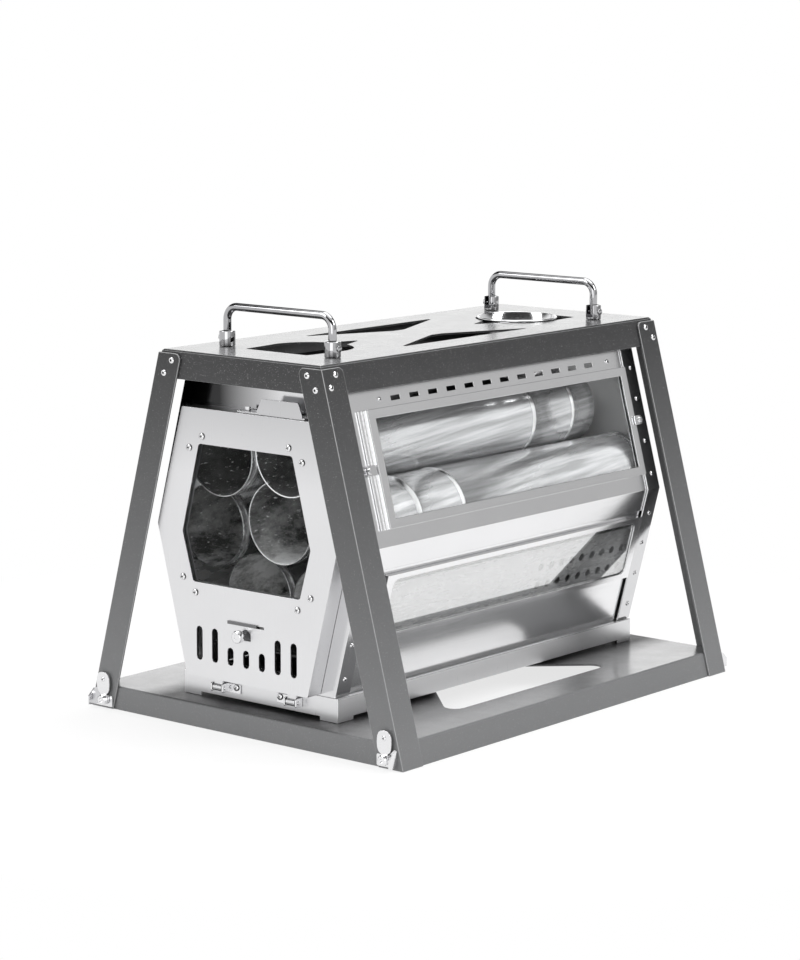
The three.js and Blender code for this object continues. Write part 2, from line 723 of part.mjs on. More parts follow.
function shrink(half, by) {
  return half.map(([x, z], i) => [x - by, z + (i === 0 ? by : 0) - (i === half.length - 1 ? by : 0)]);
}

const doorHalf = [doorBottom, doorCrease, doorTop];

function frontFrame() {
  const y0 = -bodyHalfLength;
  const doorway = outline(symmetric(shrink(doorHalf, doorwayInset)), 3, 2);
  const slot = rectangle(latchNoseX[0] - latchSlotMargin[0], latchNoseX[1] + latchSlotMargin[1],
    doorTop[1], doorTop[1] + latchLeverRise + latchLeverSheet + latchSlotLift);
  return endPlate()
    .subtract(alongY(doorway, y0 - 1, y0 + endSheet + 1))
    .subtract(alongY(slot, y0 - 1, y0 + endSheet + 1));
}

const panelHalfLength = bodyHalfLength - endSheet - gap;

function upperPanel() {
  const half = halfSection(0, lipBottomZ, bodyTopZ);
  const inner = halfSection(-bodySheet, lipBottomZ, bodyTopZ);
  let panel = alongY([...half, ...inner.reverse()], -panelHalfLength, panelHalfLength)
    .subtract(onFace(upperFace, windowRect(upperFace, upperGlass), -10, 10));
  for (let i = 0; i < louvreCount; i += 1) {
    const y = louvreFirstY + i * louvrePitch;
    const v = upperFace.up(louvreZ);
    panel = panel.subtract(onFace(upperFace, rectangle(y - louvreLength / 2, y + louvreLength / 2,
      v - louvreHeight / 2, v + louvreHeight / 2), -5, 5));
  }
  return panel;
}

const lowerOffset = -bodySheet - gap;   // the lower panel lies inside the upper one's lip

function lowerPanel() {
  const x = (z, offset) => [lowerX(z, offset), z];
  const inner = lowerOffset - bodySheet;
  const wall = [x(seatZ, lowerOffset), x(lowerPanelTopZ, lowerOffset), x(lowerPanelTopZ, inner),
    x(seatZ, inner)];
  const opening = outline(windowRect(lowerFace, lowerGlass), lowerOpening.radius, 3);
  return alongY(wall, -panelHalfLength, panelHalfLength).subtract(onFace(lowerFace, opening, -15, 10));
}

function roof() {
  const z0 = bodyTopZ + gap;
  const z1 = z0 + endSheet;
  const inside = -bodySheet - gap;
  const channel = symmetric([[upperX(bodyTopZ - roofFlange, inside), bodyTopZ - roofFlange],
    [upperX(z0, inside), z0 + 0.5]]);
  const hollow = symmetric([[upperX(bodyTopZ - roofFlange - 5, inside - endSheet), bodyTopZ - roofFlange - 5],
    [upperX(z0, inside - endSheet), z0]]);
  const reach = panelHalfLength;
  const half = upperX(bodyTopZ, gap + endSheet);
  return alongY(channel, -reach, reach).subtract(alongY(hollow, -reach - 5, reach + 5))
    .add(box(-half, half, -bodyHalfLength, bodyHalfLength, z0, z1))
    .subtract(alongZ(ring(collarBore, 0, flueY, 32), z0 - 30, z1 + 5));
}

function tray() {
  const y0 = -bodyHalfLength;
  const t = traySheet;
  const z0 = trayBottomZ;
  const z1 = bodyBottomZ;
  let body = box(-trayHalf, trayHalf, y0, trayRear, z0, z1)
    .subtract(box(-trayHalf + t, trayHalf - t, y0 + t, trayRear - t, z0 + t, z1 - t))
    .subtract(box(-trayHalf + trayRim, trayHalf - trayRim, y0 + trayRim, trayRear - trayRim, z1 - t - 1, z1 + 1));
  const footZ = baseHeight + gap;
  for (const x of [-1, 1]) {
    for (const [y, inward] of [[y0, 1], [trayRear, -1]]) {
      const ends = [y, y + inward * t].sort((a, b) => a - b);
      const run = [y, y + inward * footLength].sort((a, b) => a - b);
      const side = [x * trayHalf, x * (trayHalf - t)].sort((a, b) => a - b);
      const width = [x * trayHalf, x * (trayHalf - footLength)].sort((a, b) => a - b);
      body = body.add(box(...width, ...ends, footZ, z0 + 1)).add(box(...side, ...run, footZ, z0 + 1));
    }
  }
  return body;
}

// ---------------------------------------------------------------- side windows

// glass pane in front of a panel whose outer face is at height n above the face's own plane
function sidePane(face, w, bezel, n) {
  const lap = { front: bezel.front - 3.5, rear: bezel.rear - 3.5, top: bezel.top - 3, bottom: bezel.bottom - 3 };
  return onFace(face, outline(windowRect(face, w, lap), 1.5, 2), n + gap, n + gap + sideGlassSheet);
}

function bezelRing(face, w, bezel, n, opening) {
  const top = n + gap + sideGlassSheet + gap + bezelSheet;
  const cavity = { front: bezel.front - bezelWall, rear: bezel.rear - bezelWall,
    top: bezel.top - bezelWall, bottom: bezel.bottom - bezelWall };
  return onFace(face, windowRect(face, w, bezel), n + gap, top)
    .subtract(onFace(face, windowRect(face, w, cavity), n - 1, top - bezelSheet))
    .subtract(onFace(face, opening, n - 2, top + 2));
}

function upperBezelRing() {
  const face = upperFace;
  const frameRing = bezelRing(face, upperGlass, upperBezel, 0, windowRect(face, upperGlass));
  const y1 = upperGlass.y0 - upperBezel.front + 0.5;
  const y0 = y1 - 0.5 - railWidth;
  const v0 = face.up(upperGlass.z0) - upperBezel.bottom;
  const v1 = face.up(upperGlass.z1) + upperBezel.top;
  return frameRing
    .add(onFace(face, rectangle(y0, y1, v0, v1), gap, railHeight - railRidge))
    .add(onFace(face, rectangle(y0, y0 + 1.6, v0, v1), gap, railHeight))
    .add(onFace(face, rectangle(y0 + 5, y0 + 6.6, v0, v1), gap, railHeight));
}

function lowerBezelRing() {
  const opening = outline(windowRect(lowerFace, lowerGlass), lowerOpening.radius, 3);
  return bezelRing(lowerFace, lowerGlass, lowerBezel, lowerOffset, opening);
}

// turn clip: boss and screw through a short plate that laps the bezel
function clip(pivotY, seat, towards) {
  const v = upperFace.up(clipZ);
  const plate = rectangle(...[pivotY - towards * clipTail, pivotY + towards * (clipLength - clipTail)]
    .sort((a, b) => a - b), v - clipWidth / 2, v + clipWidth / 2);
  return onFace(upperFace, outline(plate, 1.5, 2), clipRise, clipRise + clipSheet)
    .add(onFace(upperFace, ring(clipBossRadius, pivotY, v, 10), seat + gap, clipRise + 0.5))
    .add(onFace(upperFace, ring(clipHeadRadius, pivotY, v, 10), clipRise + 0.5,
      clipRise + clipSheet + clipHeadHeight));
}

// ---------------------------------------------------------------- inside the firebox

function grate() {
  const z1 = grateTopZ;
  const half = lowerX(z1 - grateSheet, lowerOffset - bodySheet - gap);
  let plate = box(-half, half, -panelHalfLength, panelHalfLength, z1 - grateSheet, z1);
  for (let i = 0; i < grateSlotCount; i += 1) {
    const y = (i - (grateSlotCount - 1) / 2) * grateSlotPitch;
    plate = plate.subtract(box(-grateSlotHalf, grateSlotHalf, y - grateSlotWidth / 2,
      y + grateSlotWidth / 2, z1 - grateSheet - 1, z1 + 1));
  }
  return plate;
}

// perforated secondary air duct along a lower panel: a channel open towards the panel
function airDuct() {
  const wall = lowerOffset - bodySheet - gap;
  const inner = wall - ductDepth;
  const x = (z, offset) => [lowerX(z, offset), z];
  const t = bodySheet;
  const firstY = bodyHalfLength - ductHoleStart;
  const lastY = bodyHalfLength - ductHoleEnd;
  let duct = alongY([x(ductBottomZ, wall), x(ductTopZ, wall), x(ductTopZ, inner), x(ductBottomZ, inner)],
    -ductHalf, ductHalf)
    .subtract(alongY([x(ductBottomZ + t, wall + 3), x(ductTopZ - t, wall + 3), x(ductTopZ - t, inner + t),
      x(ductBottomZ + t, inner + t)], -ductHalf - 5, ductHalf + 5));
  for (const row of ductHoleRows) {
    for (let y = firstY; y <= lastY; y += ductHolePitch) {
      const v = lowerFace.up(ductBottomZ + row);
      duct = duct.subtract(onFace(lowerFace, ring(ductHoleRadius, y, v, ductHoleSides), inner - 3, inner + t + 2));
    }
  }
  return duct;
}

function collar() {
  const z0 = bodyTopZ + gap + endSheet + gap;
  const outer = collarBore + collarWall;
  const top = frameHeight + collarProud - z0;
  const bead = collarBead;
  return turned([
    [collarBore, 0], [collarBore + collarFlangeWidth, 0], [collarBore + collarFlangeWidth, collarWall], [outer, collarWall],
    [outer, top - 2.6 * bead], [collarRim, top - 1.8 * bead], [collarRim, top - 0.6 * bead],
    [outer, top], [collarBore, top], [collarBore, 0]], [0, flueY, z0], [0, 0, 1], 28);
}

// a pipe section: rolled rim, beads and a reduced spigot; `turnedRound` puts the spigot to the front
function pipe({ x, z, front, length = pipeLength, turnedRound = false }) {
  const r = pipeRadius;
  const bead = (at) => [[r, at - pipeBeadWidth / 2], [pipeRim, at], [r, at + pipeBeadWidth / 2]];
  const shoulder = length - pipeSpigotLength;
  const profile = [
    [r - pipeWall, 0], [pipeRim, 0], [pipeRim, pipeRimWidth], [r, pipeRimWidth + 1],
    ...bead(pipeCollarBead), ...bead(shoulder - pipeSpigotBead),
    [r, shoulder - 4], [pipeRim, shoulder - 1.5], [pipeSpigot, shoulder + 1], [pipeSpigot, length],
    [pipeSpigot - pipeWall, length], [pipeSpigot - pipeWall, shoulder], [r - pipeWall, shoulder - 4],
    [r - pipeWall, 0],
  ];
  if (turnedRound) return turned(profile, [x, front + length, z], [0, -1, 0], pipeSides);
  return turned(profile, [x, front, z], [0, 1, 0], pipeSides);
}

const stored = [
  { name: 'bottom_left', ...bottomLeft, front: -bodyHalfLength + pipeStagger.bottomLeft },
  { name: 'bottom_right', ...bottomRight, front: -bodyHalfLength + pipeStagger.bottomRight },
  { name: 'middle_left', ...middleLeft, front: -bodyHalfLength + pipeStagger.middleLeft },
  { name: 'middle', ...middle, front: -bodyHalfLength + pipeStagger.middle },
  { name: 'middle_right', ...middleRight, front: bodyHalfLength - shortPipeRear - pipeShortLength,
    length: pipeShortLength, turnedRound: true },
  { name: 'top_left', ...topLeft, front: -bodyHalfLength + pipeStagger.top },
  { name: 'top_right', ...topRight, front: -bodyHalfLength + pipeStagger.top },
];

// ---------------------------------------------------------------- door

const flangeEnd = -bodyHalfLength - doorSeat;
const faceBack = doorY + doorSheet;

const airSlots = [-3, -2, -1, 0, 1, 2, 3].map((i) => (
  { x: i * airPitch, top: airBottomZ + (Math.abs(i) > 1 ? airTall : airShort) }));

const slotOutline = (x, width, z0, z1) => (
  outline(rectangle(x - width / 2, x + width / 2, z0, z1), width / 2 - 0.01, 2));

function archOutline() {
  const arc = Array.from({ length: 9 }, (_, i) => {
    const a = (Math.PI * i) / 8;
    return [archHalf * Math.cos(a), archCentreZ + archHalf * Math.sin(a)];
  });
  return [...arc, [-archHalf, archFloorZ], [archHalf, archFloorZ]];
}

// eye that hangs on a hinge pin, below a strip welded to the door's lower flange
function hingeLug(x) {
  const strip = rectangle(hingeY - lugSheet / 2, hingeY + lugSheet / 2, hingeZ, doorBottom[1] + 1);
  return alongX(ring(lugEyeRadius, hingeY, hingeZ, 12), x - lugHalf, x + lugHalf)
    .add(alongX(strip, x - lugHalf, x + lugHalf));
}

function doorPanel() {
  const outer = outline(symmetric(doorHalf), 2, 2);
  const hollow = outline(symmetric(shrink(doorHalf, doorSheet)), 1, 2);
  const window = outline(symmetric(doorWindow.slice().reverse()), doorWindowCorner, 2);
  let door = alongY(outer, doorY, flangeEnd).subtract(alongY(hollow, faceBack, flangeEnd + 5))
    .subtract(alongY(window, doorY - 1, faceBack + 1))
    .subtract(alongY(archOutline(), doorY - 1, faceBack + 1))
    .subtract(alongY(rectangle(-slitHalf, slitHalf, slitZ - slitHeight / 2, slitZ + slitHeight / 2),
      doorY - 1, faceBack + 1));
  for (const { x, top } of airSlots) {
    door = door.subtract(alongY(slotOutline(x, airWidth, airBottomZ, top), doorY - 1, faceBack + 1));
  }
  for (const side of [-1, 1]) door = door.add(hingeLug(side * hingeX));
  const bore = hingePinRadius + hingePinClearance;
  return door.subtract(rod(bore, 4 * hingeX, [-2 * hingeX, hingeY, hingeZ], [1, 0, 0], 10));
}

const grown = (half, by) => half.map(([x, z], i) => (
  [x + by, z + (i === 0 ? by : 0) - (i === half.length - 1 ? by : 0)]));

function doorGlass() {
  const y0 = faceBack + gap;
  return alongY(outline(symmetric(grown(doorWindow, doorGlassLap).reverse()), 2, 2), y0, y0 + doorGlassSheet);
}

function glassRetainer() {
  const y0 = faceBack + gap + doorGlassSheet + gap;
  return alongY(outline(symmetric(grown(doorWindow, retainerLap).reverse()), 2, 2), y0, y0 + retainerSheet)
    .subtract(alongY(outline(symmetric(doorWindow.slice().reverse()), doorWindowCorner, 2),
      y0 - 1, y0 + retainerSheet + 1));
}

// air slide behind the door: matching slots and a tongue that hangs in the slit
function damperSlide() {
  const y0 = faceBack + gap;
  const y1 = y0 + damperSheet;
  const tongueHalf = slitHalf - damperTravel / 2 - 0.5;
  const centre = -damperTravel / 2;
  const z = slitZ - slitHeight / 2 + gap;
  let plate = alongY(rectangle(-damperHalf, damperHalf - damperTravel, damperBottomZ, damperTopZ), y0, y1);
  for (const { x, top } of airSlots) {
    plate = plate.subtract(alongY(slotOutline(x, airWidth + 0.4, airBottomZ - 0.2, top + 0.2), y0 - 1, y1 + 1));
  }
  const hang = box(centre - tongueHalf, centre + tongueHalf, y0, y1, damperTopZ - 1, z + damperSheet);
  const tongue = box(centre - tongueHalf, centre + tongueHalf, doorY - gap - damperSheet, y1, z, z + damperSheet);
  const lip = box(centre - tongueHalf, centre + tongueHalf, doorY - gap - damperSheet, doorY - gap,
    z, z + damperLip);
  return plate.add(hang).add(tongue).add(lip);
}

function damperKnob() {
  const x = -damperTravel / 2;
  const z = archCentreZ;
  const stand = doorSheet + knobStandOff;
  return turned([[0, 0], [stemRadius, 0], [stemRadius, stand], [knobRadius - 1, stand],
    [knobRadius, stand + 1], [knobRadius, stand + knobLength - 1], [knobRadius - 1, stand + knobLength],
    [0, stand + knobLength]], [x, faceBack, z], [0, -1, 0], 14);
}

// hinge bracket on the tray's front wall: riveted pad, two ears and the pin between them
function hingeBracket() {
  const y1 = -bodyHalfLength - gap;
  const y0 = y1 - hingeEarSheet;
  const z0 = hingeZ - hingeEarHeight / 2;
  const z1 = hingeZ + hingeEarHeight / 2;
  const front = hingeY - hingePinRadius - 2;
  const outer = hingeX + hingeHalf;
  const inner = hingeX - hingeHalf;
  return box(hingePadReach, outer, y0, y1, z0, z1)
    .add(alongX(outline(rectangle(front, y1, z0, z1), 1.5, 2), outer - hingeEarSheet, outer))
    .add(alongX(outline(rectangle(front, y1, z0, z1), 1.5, 2), inner, inner + hingeEarSheet))
    .add(rod(hingePinRadius, 2 * hingeHalf + 1.6, [inner - 0.8, hingeY, hingeZ], [1, 0, 0], 10));
}

// ---------------------------------------------------------------- door latch

const leverZ = doorTop[1] + latchLeverRise;

function doorLatch() {
  const z1 = leverZ + latchLeverSheet;
  const nose = flangeEnd + doorSeat + latchNoseReach;
  const top = outline([[latchLeverX - 8, latchLeverFront], [latchLeverEnd, latchLeverFront],
    [latchLeverEnd, latchLeverBack], [latchNoseX[1], latchLeverBack, 0.5], [latchNoseX[1], nose],
    [latchNoseX[0], nose], [latchNoseX[0], latchLeverBack, 0.5], [latchLeverX - 8, latchLeverBack, 7]], 1.5, 2);
  const tab = latchTab.map(([back, z]) => [latchLeverEnd - back, z1 - 0.5 + z + (z ? 0.5 : 0)]);
  return alongZ(top, leverZ, z1)
    .add(alongY(outline(tab.reverse(), 1.5, 2), latchLeverFront, latchLeverFront + latchLeverSheet))
    .subtract(alongZ(ring(leverBoltShank + gap, latchLeverX, latchLeverY, 14), leverZ - 1, z1 + 1));
}

function latchPivot() {
  const z0 = doorTop[1] + gap;
  const shank = latchLeverRise - gap + latchLeverSheet + gap;
  return turned([[0, 0], [leverBoltShank, 0], [leverBoltShank, shank], [leverBoltRadius, shank],
    [leverBoltRadius, shank + leverBoltHead], [0, shank + leverBoltHead]],
  [latchLeverX, latchLeverY, z0], [0, 0, 1], 12);
}

// ---------------------------------------------------------------- assembly

const stove = new THREE.Group();

function place(name, geometry, material) {
  const mesh = new THREE.Mesh(geometry, material);
  mesh.name = name;
  stove.add(mesh);
}

const corners = [['front_right', 1, 1], ['front_left', -1, 1], ['rear_right', 1, -1], ['rear_left', -1, -1]];

function placeAtCorners(prefix, geometry, material) {
  for (const [corner, x, y] of corners) place(`${prefix}_${corner}`, mirrored(geometry, x, y), material);
}

function placeOnSides(prefix, geometry, material) {
  place(`${prefix}_right`, geometry, material);
  place(`${prefix}_left`, mirrored(geometry, -1, 1), material);
}

place('top_plate', geometryOf(topPlate()), paint);
place('base_plate', geometryOf(basePlate()), paint);
placeAtCorners('leg', geometryOf(leg()), paint);
const handleGeometry = geometryOf(handle());
place('carry_handle_front', handleGeometry, chrome);
place('carry_handle_rear', mirrored(handleGeometry, 1, -1), chrome);
placeAtCorners('handle_socket', geometryOf(socket()), chrome);
placeAtCorners('frame_latch_bracket', geometryOf(latchBracket()), brightSteel);
placeAtCorners('frame_latch_lever', geometryOf(latchLever()), brightSteel);

place('ash_tray', geometryOf(tray()), steel);
place('front_frame', geometryOf(frontFrame()), steel);
place('rear_panel', mirrored(geometryOf(endPlate()), 1, -1), steel);
placeOnSides('upper_panel', geometryOf(upperPanel()), steel);
placeOnSides('lower_panel', geometryOf(lowerPanel()), brightSteel);
place('roof_plate', geometryOf(roof()), steel);
place('flue_collar', geometryOf(collar()), brightSteel);

placeOnSides('upper_window_frame', geometryOf(upperBezelRing()), steel);
placeOnSides('upper_window_glass', geometryOf(sidePane(upperFace, upperGlass, upperBezel, 0)), glass);
placeOnSides('lower_window_frame', geometryOf(lowerBezelRing()), brightSteel);
placeOnSides('lower_window_glass', geometryOf(sidePane(lowerFace, lowerGlass, lowerBezel, lowerOffset)), glass);
placeOnSides('window_clip_front', geometryOf(clip(clipFrontY, 0, 1)), brightSteel);
placeOnSides('window_clip_rear', geometryOf(clip(clipRearY, gap + endSheet, -1)), brightSteel);

place('fire_grate', geometryOf(grate()), darkSteel);
placeOnSides('air_duct', geometryOf(airDuct()), darkSteel);
for (const one of stored) place(`flue_pipe_${one.name}`, geometryOf(pipe(one)), pipeSteel);

place('door_panel', geometryOf(doorPanel()), steel);
place('door_glass', geometryOf(doorGlass()), glass);
place('glass_retainer', geometryOf(glassRetainer()), steel);
place('damper_slide', geometryOf(damperSlide()), darkSteel);
place('damper_knob', geometryOf(damperKnob()), brightSteel);
placeOnSides('door_hinge', geometryOf(hingeBracket()), brightSteel);
place('door_latch', geometryOf(doorLatch()), steel);
place('latch_pivot', geometryOf(latchPivot()), brightSteel);

export default stove;
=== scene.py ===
import json
import math

import bpy
from mathutils import Matrix, Vector

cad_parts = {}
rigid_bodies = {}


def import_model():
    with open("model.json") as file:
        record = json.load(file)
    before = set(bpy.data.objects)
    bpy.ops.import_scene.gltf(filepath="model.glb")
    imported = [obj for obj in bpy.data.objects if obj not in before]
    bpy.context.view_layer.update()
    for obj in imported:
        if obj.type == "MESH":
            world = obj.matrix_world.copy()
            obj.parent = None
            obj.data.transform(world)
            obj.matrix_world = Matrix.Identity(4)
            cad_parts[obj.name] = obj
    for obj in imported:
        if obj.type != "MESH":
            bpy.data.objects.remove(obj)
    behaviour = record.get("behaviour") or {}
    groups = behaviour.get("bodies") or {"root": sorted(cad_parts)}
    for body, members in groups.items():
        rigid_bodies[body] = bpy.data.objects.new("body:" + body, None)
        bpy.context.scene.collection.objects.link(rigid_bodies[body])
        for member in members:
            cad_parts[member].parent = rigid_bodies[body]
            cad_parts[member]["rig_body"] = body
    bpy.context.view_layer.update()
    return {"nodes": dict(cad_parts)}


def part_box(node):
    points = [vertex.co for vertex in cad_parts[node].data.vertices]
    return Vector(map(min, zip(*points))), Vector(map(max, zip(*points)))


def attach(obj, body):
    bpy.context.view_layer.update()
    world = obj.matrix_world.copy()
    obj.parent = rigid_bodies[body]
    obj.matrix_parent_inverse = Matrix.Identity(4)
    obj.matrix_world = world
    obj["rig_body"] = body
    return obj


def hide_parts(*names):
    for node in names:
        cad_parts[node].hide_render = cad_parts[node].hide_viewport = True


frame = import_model()
nodes = frame["nodes"]
mm = 0.001
weldGap = 1e-6  # metres

# small helpers for modelling by hand


def deselectAll():
    if bpy.context.object and bpy.context.object.mode != "OBJECT":
        bpy.ops.object.mode_set(mode="OBJECT")
    bpy.ops.object.select_all(action="DESELECT")


def activate(piece):
    deselectAll()
    piece.select_set(True)
    bpy.context.view_layer.objects.active = piece


def startEdit(piece, mode="FACE"):
    activate(piece)
    bpy.ops.object.mode_set(mode="EDIT")
    bpy.ops.mesh.select_mode(type=mode)


def endEdit():
    bpy.ops.object.mode_set(mode="OBJECT")


def applyPlace(piece):
    activate(piece)
    bpy.ops.object.transform_apply(location=True, rotation=True, scale=True)


def addModifier(piece, kind, **settings):
    modifier = piece.modifiers.new(kind.title(), kind)
    for name, value in settings.items():
        setattr(modifier, name, value)
    activate(piece)
    bpy.ops.object.modifier_apply(modifier=modifier.name)


def bevelEdges(piece, width, segments, angle, roundedEdgeMaterial=-1):
    # the last argument is the number of the material on the rounded edges, or -1 for that of the faces
    # beside them; the sheets put a paler material there, a painted highlight
    addModifier(piece, "BEVEL", width=width * mm, segments=segments, limit_method="ANGLE",
                angle_limit=math.radians(angle), use_clamp_overlap=True, material=roundedEdgeMaterial)


def smooth(piece, angle):
    activate(piece)
    bpy.ops.object.shade_smooth_by_angle(angle=math.radians(angle))


def joinPieces(pieces):
    deselectAll()
    for piece in pieces:
        piece.select_set(True)
    bpy.context.view_layer.objects.active = pieces[0]
    if len(pieces) > 1:
        bpy.ops.object.join()
    return bpy.context.view_layer.objects.active


def copyTo(piece, matrix):
    twin = piece.copy()
    twin.data = piece.data.copy()
    twin.data.transform(matrix)
    bpy.context.scene.collection.objects.link(twin)
    return twin


def finishPiece(piece, name, body, material, stands=()):
    piece.name = name
    piece.data.name = name
    if material:
        piece.data.materials.clear()
        piece.data.materials.append(material)
    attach(piece, body)
    if stands:
        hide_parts(*stands)
    return piece


def facing(direction):
    # turns +Z to the given direction
    return Vector((0, 0, 1)).rotation_difference(Vector(direction).normalized()).to_matrix().to_4x4()


def turnProfile(profile, steps):
    # a profile of (radius, height) in mm is extruded point by point, then spun round Z
    bpy.ops.mesh.primitive_plane_add(size=mm)
    piece = bpy.context.object
    startEdit(piece, "VERT")
    bpy.ops.mesh.select_all(action="SELECT")
    bpy.ops.mesh.merge(type="CENTER")
    here = Vector((profile[0][0], 0, profile[0][1])) * mm
    bpy.ops.transform.translate(value=here)
    for radius, height in profile[1:]:
        there = Vector((radius, 0, height)) * mm
        bpy.ops.mesh.extrude_region_move(TRANSFORM_OT_translate={"value": there - here})
        here = there
    bpy.ops.mesh.select_all(action="SELECT")
    bpy.ops.mesh.spin(steps=steps, angle=2 * math.pi, center=(0, 0, 0), axis=(0, 0, 1))
    bpy.ops.mesh.select_all(action="SELECT")
    bpy.ops.mesh.remove_doubles(threshold=weldGap)
    bpy.ops.mesh.normals_make_consistent(inside=False)
    endEdit()
    return piece


def addCylinder(radius, depth, centre, direction, sides):
    bpy.ops.mesh.primitive_cylinder_add(radius=radius * mm, depth=depth * mm, vertices=sides)
    piece = bpy.context.object
    piece.data.transform(Matrix.Translation(Vector(centre) * mm) @ facing(direction))
    return piece


# materials


def addNode(owner, kind, sockets, **settings):
    # owner is a material or the world, and a socket takes a plain value or another node's output
    tree = owner.node_tree
    node = tree.nodes.new(kind)
    for name, value in settings.items():
        setattr(node, name, value)
    for socket, value in sockets.items():
        if isinstance(value, bpy.types.NodeSocket):
            tree.links.new(value, node.inputs[socket])
        else:
            node.inputs[socket].default_value = value
    return node


def newMaterial(name, colour, metallic, roughness, **sockets):
    material = bpy.data.materials.new(name)
    material.use_nodes = True
    shader = material.node_tree.nodes["Principled BSDF"]
    shader.inputs["Base Color"].default_value = (*colour, 1)
    shader.inputs["Metallic"].default_value = metallic
    shader.inputs["Roughness"].default_value = roughness
    for socket, value in sockets.items():
        shader.inputs[socket.replace("_", " ")].default_value = value
    return material


def link(material, value, socket):
    material.node_tree.links.new(value, material.node_tree.nodes["Principled BSDF"].inputs[socket])


def objectPlace(material):
    return addNode(material, "ShaderNodeTexCoord", {}).outputs["Object"]


def objectNoise(material, scale, stretch=(1, 1, 1), detail=4, roughness=0.6, tilt=0):
    place = objectPlace(material)
    if tilt:
        # the pattern is turned about X before it is stretched
        turned = addNode(material, "ShaderNodeVectorRotate", {"Vector": place, "Angle": math.radians(-tilt)},
                         rotation_type="X_AXIS")
        place = turned.outputs["Vector"]
    mapping = addNode(material, "ShaderNodeMapping", {"Vector": place, "Scale": stretch})
    noise = addNode(material, "ShaderNodeTexNoise", {
        "Vector": mapping.outputs["Vector"], "Scale": scale, "Detail": detail, "Roughness": roughness})
    return noise.outputs["Fac"]


def spread(owner, value, low, high, start=0.3, end=0.7):
    remap = addNode(owner, "ShaderNodeMapRange", {
        "Value": value, "From Min": start, "From Max": end, "To Min": low, "To Max": high})
    return remap.outputs["Result"]


def alongAxis(material, axis, start, end, low, high):
    # a value that runs from low to high between two places on an axis, in metres
    parts = addNode(material, "ShaderNodeSeparateXYZ", {0: objectPlace(material)})
    return spread(material, parts.outputs[axis], low, high, start, end)


def blend(owner, value, first, second, **settings):
    # first and second are each a plain colour or another node's output
    colours = [(*colour, 1) if isinstance(colour, tuple) else colour for colour in (first, second)]
    mix = addNode(owner, "ShaderNodeMix", {}, data_type="RGBA", **settings)
    for socket, colour in zip(("Factor", "A", "B"), (value, *colours)):
        if isinstance(colour, tuple):
            mix.inputs[socket].default_value = colour
        else:
            owner.node_tree.links.new(colour, mix.inputs[socket])
    return mix.outputs["Result"]


def mathNode(owner, operation, *values):
    return addNode(owner, "ShaderNodeMath", dict(enumerate(values)), operation=operation).outputs["Value"]


def mixShaders(owner, share, first, second):
    return addNode(owner, "ShaderNodeMixShader", {"Fac": share, 1: first, 2: second}).outputs["Shader"]


def bump(material, value, strength, distance):
    node = addNode(material, "ShaderNodeBump", {"Height": value, "Strength": strength, "Distance": distance})
    link(material, node.outputs["Normal"], "Normal")


# heights and sides are in metres; top is the painted shade up high, and foot the painted light near the
# ground
paintLook = {
    "top": (0.022, 0.022, 0.023),
    "foot": (0.160, 0.162, 0.165),
    "paintedShadeHeights": (0.02, 0.36),
    # a paler paint for the rounded edges: a painted highlight
    "edge": (0.30, 0.302, 0.305),
    "speck": (0.34, 0.342, 0.345),
    "specks": (0.65, 0.76),
    "grain": 1100,
    "grainStrength": 0.35,
    "grainDepth": 0.00012,
    "roughness": (0.34, 0.48),
    "roughPatches": 40,
    "coatRoughness": 0.2,
    "coatIor": 4.0,
    "coatFrom": (0.45, 0.8),
    # a painted shadow on the base where the stove stands over it: how far it reaches from the middle, how
    # high, and the base's top face where it starts
    "paintedShadowHalf": (0.105, 0.14),
    "stoveShade": (0.1, 0.2),
    "paintedShadowBaseFace": (0.022, 0.0236),
}


def makeFramePaint(name, edge=None):
    # powder coat with painted shade at the top and painted light towards the ground, with a satin gloss at a
    # flat angle;
    #  the base has a painted shadow and less gloss where the stove stands over it
    look = paintLook
    paint = newMaterial(name, look["foot"], 0.0, look["roughness"][1],
                        Coat_Roughness=look["coatRoughness"], Coat_IOR=look["coatIor"])
    grain = objectNoise(paint, look["grain"], detail=2, roughness=0.5)
    # clear is 1 outside the painted shadow under the stove, where the base also keeps its coat
    fromMiddle = mathNode(paint, "ABSOLUTE", alongAxis(paint, "X", -1, 1, -1, 1))
    beside = spread(paint, fromMiddle, 0, 1, *look["paintedShadowHalf"])
    above = alongAxis(paint, "Z", *look["stoveShade"], 0, 1)
    clear = mathNode(paint, "MAXIMUM", beside, above)
    # an edge paint keeps one paler colour all over, a painted highlight
    ground = edge
    if not edge:
        lit = mathNode(paint, "MAXIMUM", clear, alongAxis(paint, "Z", *look["paintedShadowBaseFace"], 1, 0))
        shaded = mathNode(paint, "SUBTRACT", 1.0, lit)
        # painted shade up high and painted light low down, joined with the painted shadow under the stove
        dark = mathNode(paint, "MAXIMUM", alongAxis(paint, "Z", *look["paintedShadeHeights"], 0, 1), shaded)
        ground = blend(paint, dark, look["foot"], look["top"])
    specks = spread(paint, grain, 0, 1, *look["specks"])
    link(paint, blend(paint, specks, ground, look["speck"]), "Base Color")
    link(paint, spread(paint, objectNoise(paint, look["roughPatches"]), *look["roughness"]), "Roughness")
    angle = addNode(paint, "ShaderNodeLayerWeight", {}).outputs["Facing"]
    gloss = spread(paint, angle, 0, 1, *look["coatFrom"])
    link(paint, mathNode(paint, "MULTIPLY", gloss, clear), "Coat Weight")
    bump(paint, grain, look["grainStrength"], look["grainDepth"])
    return paint


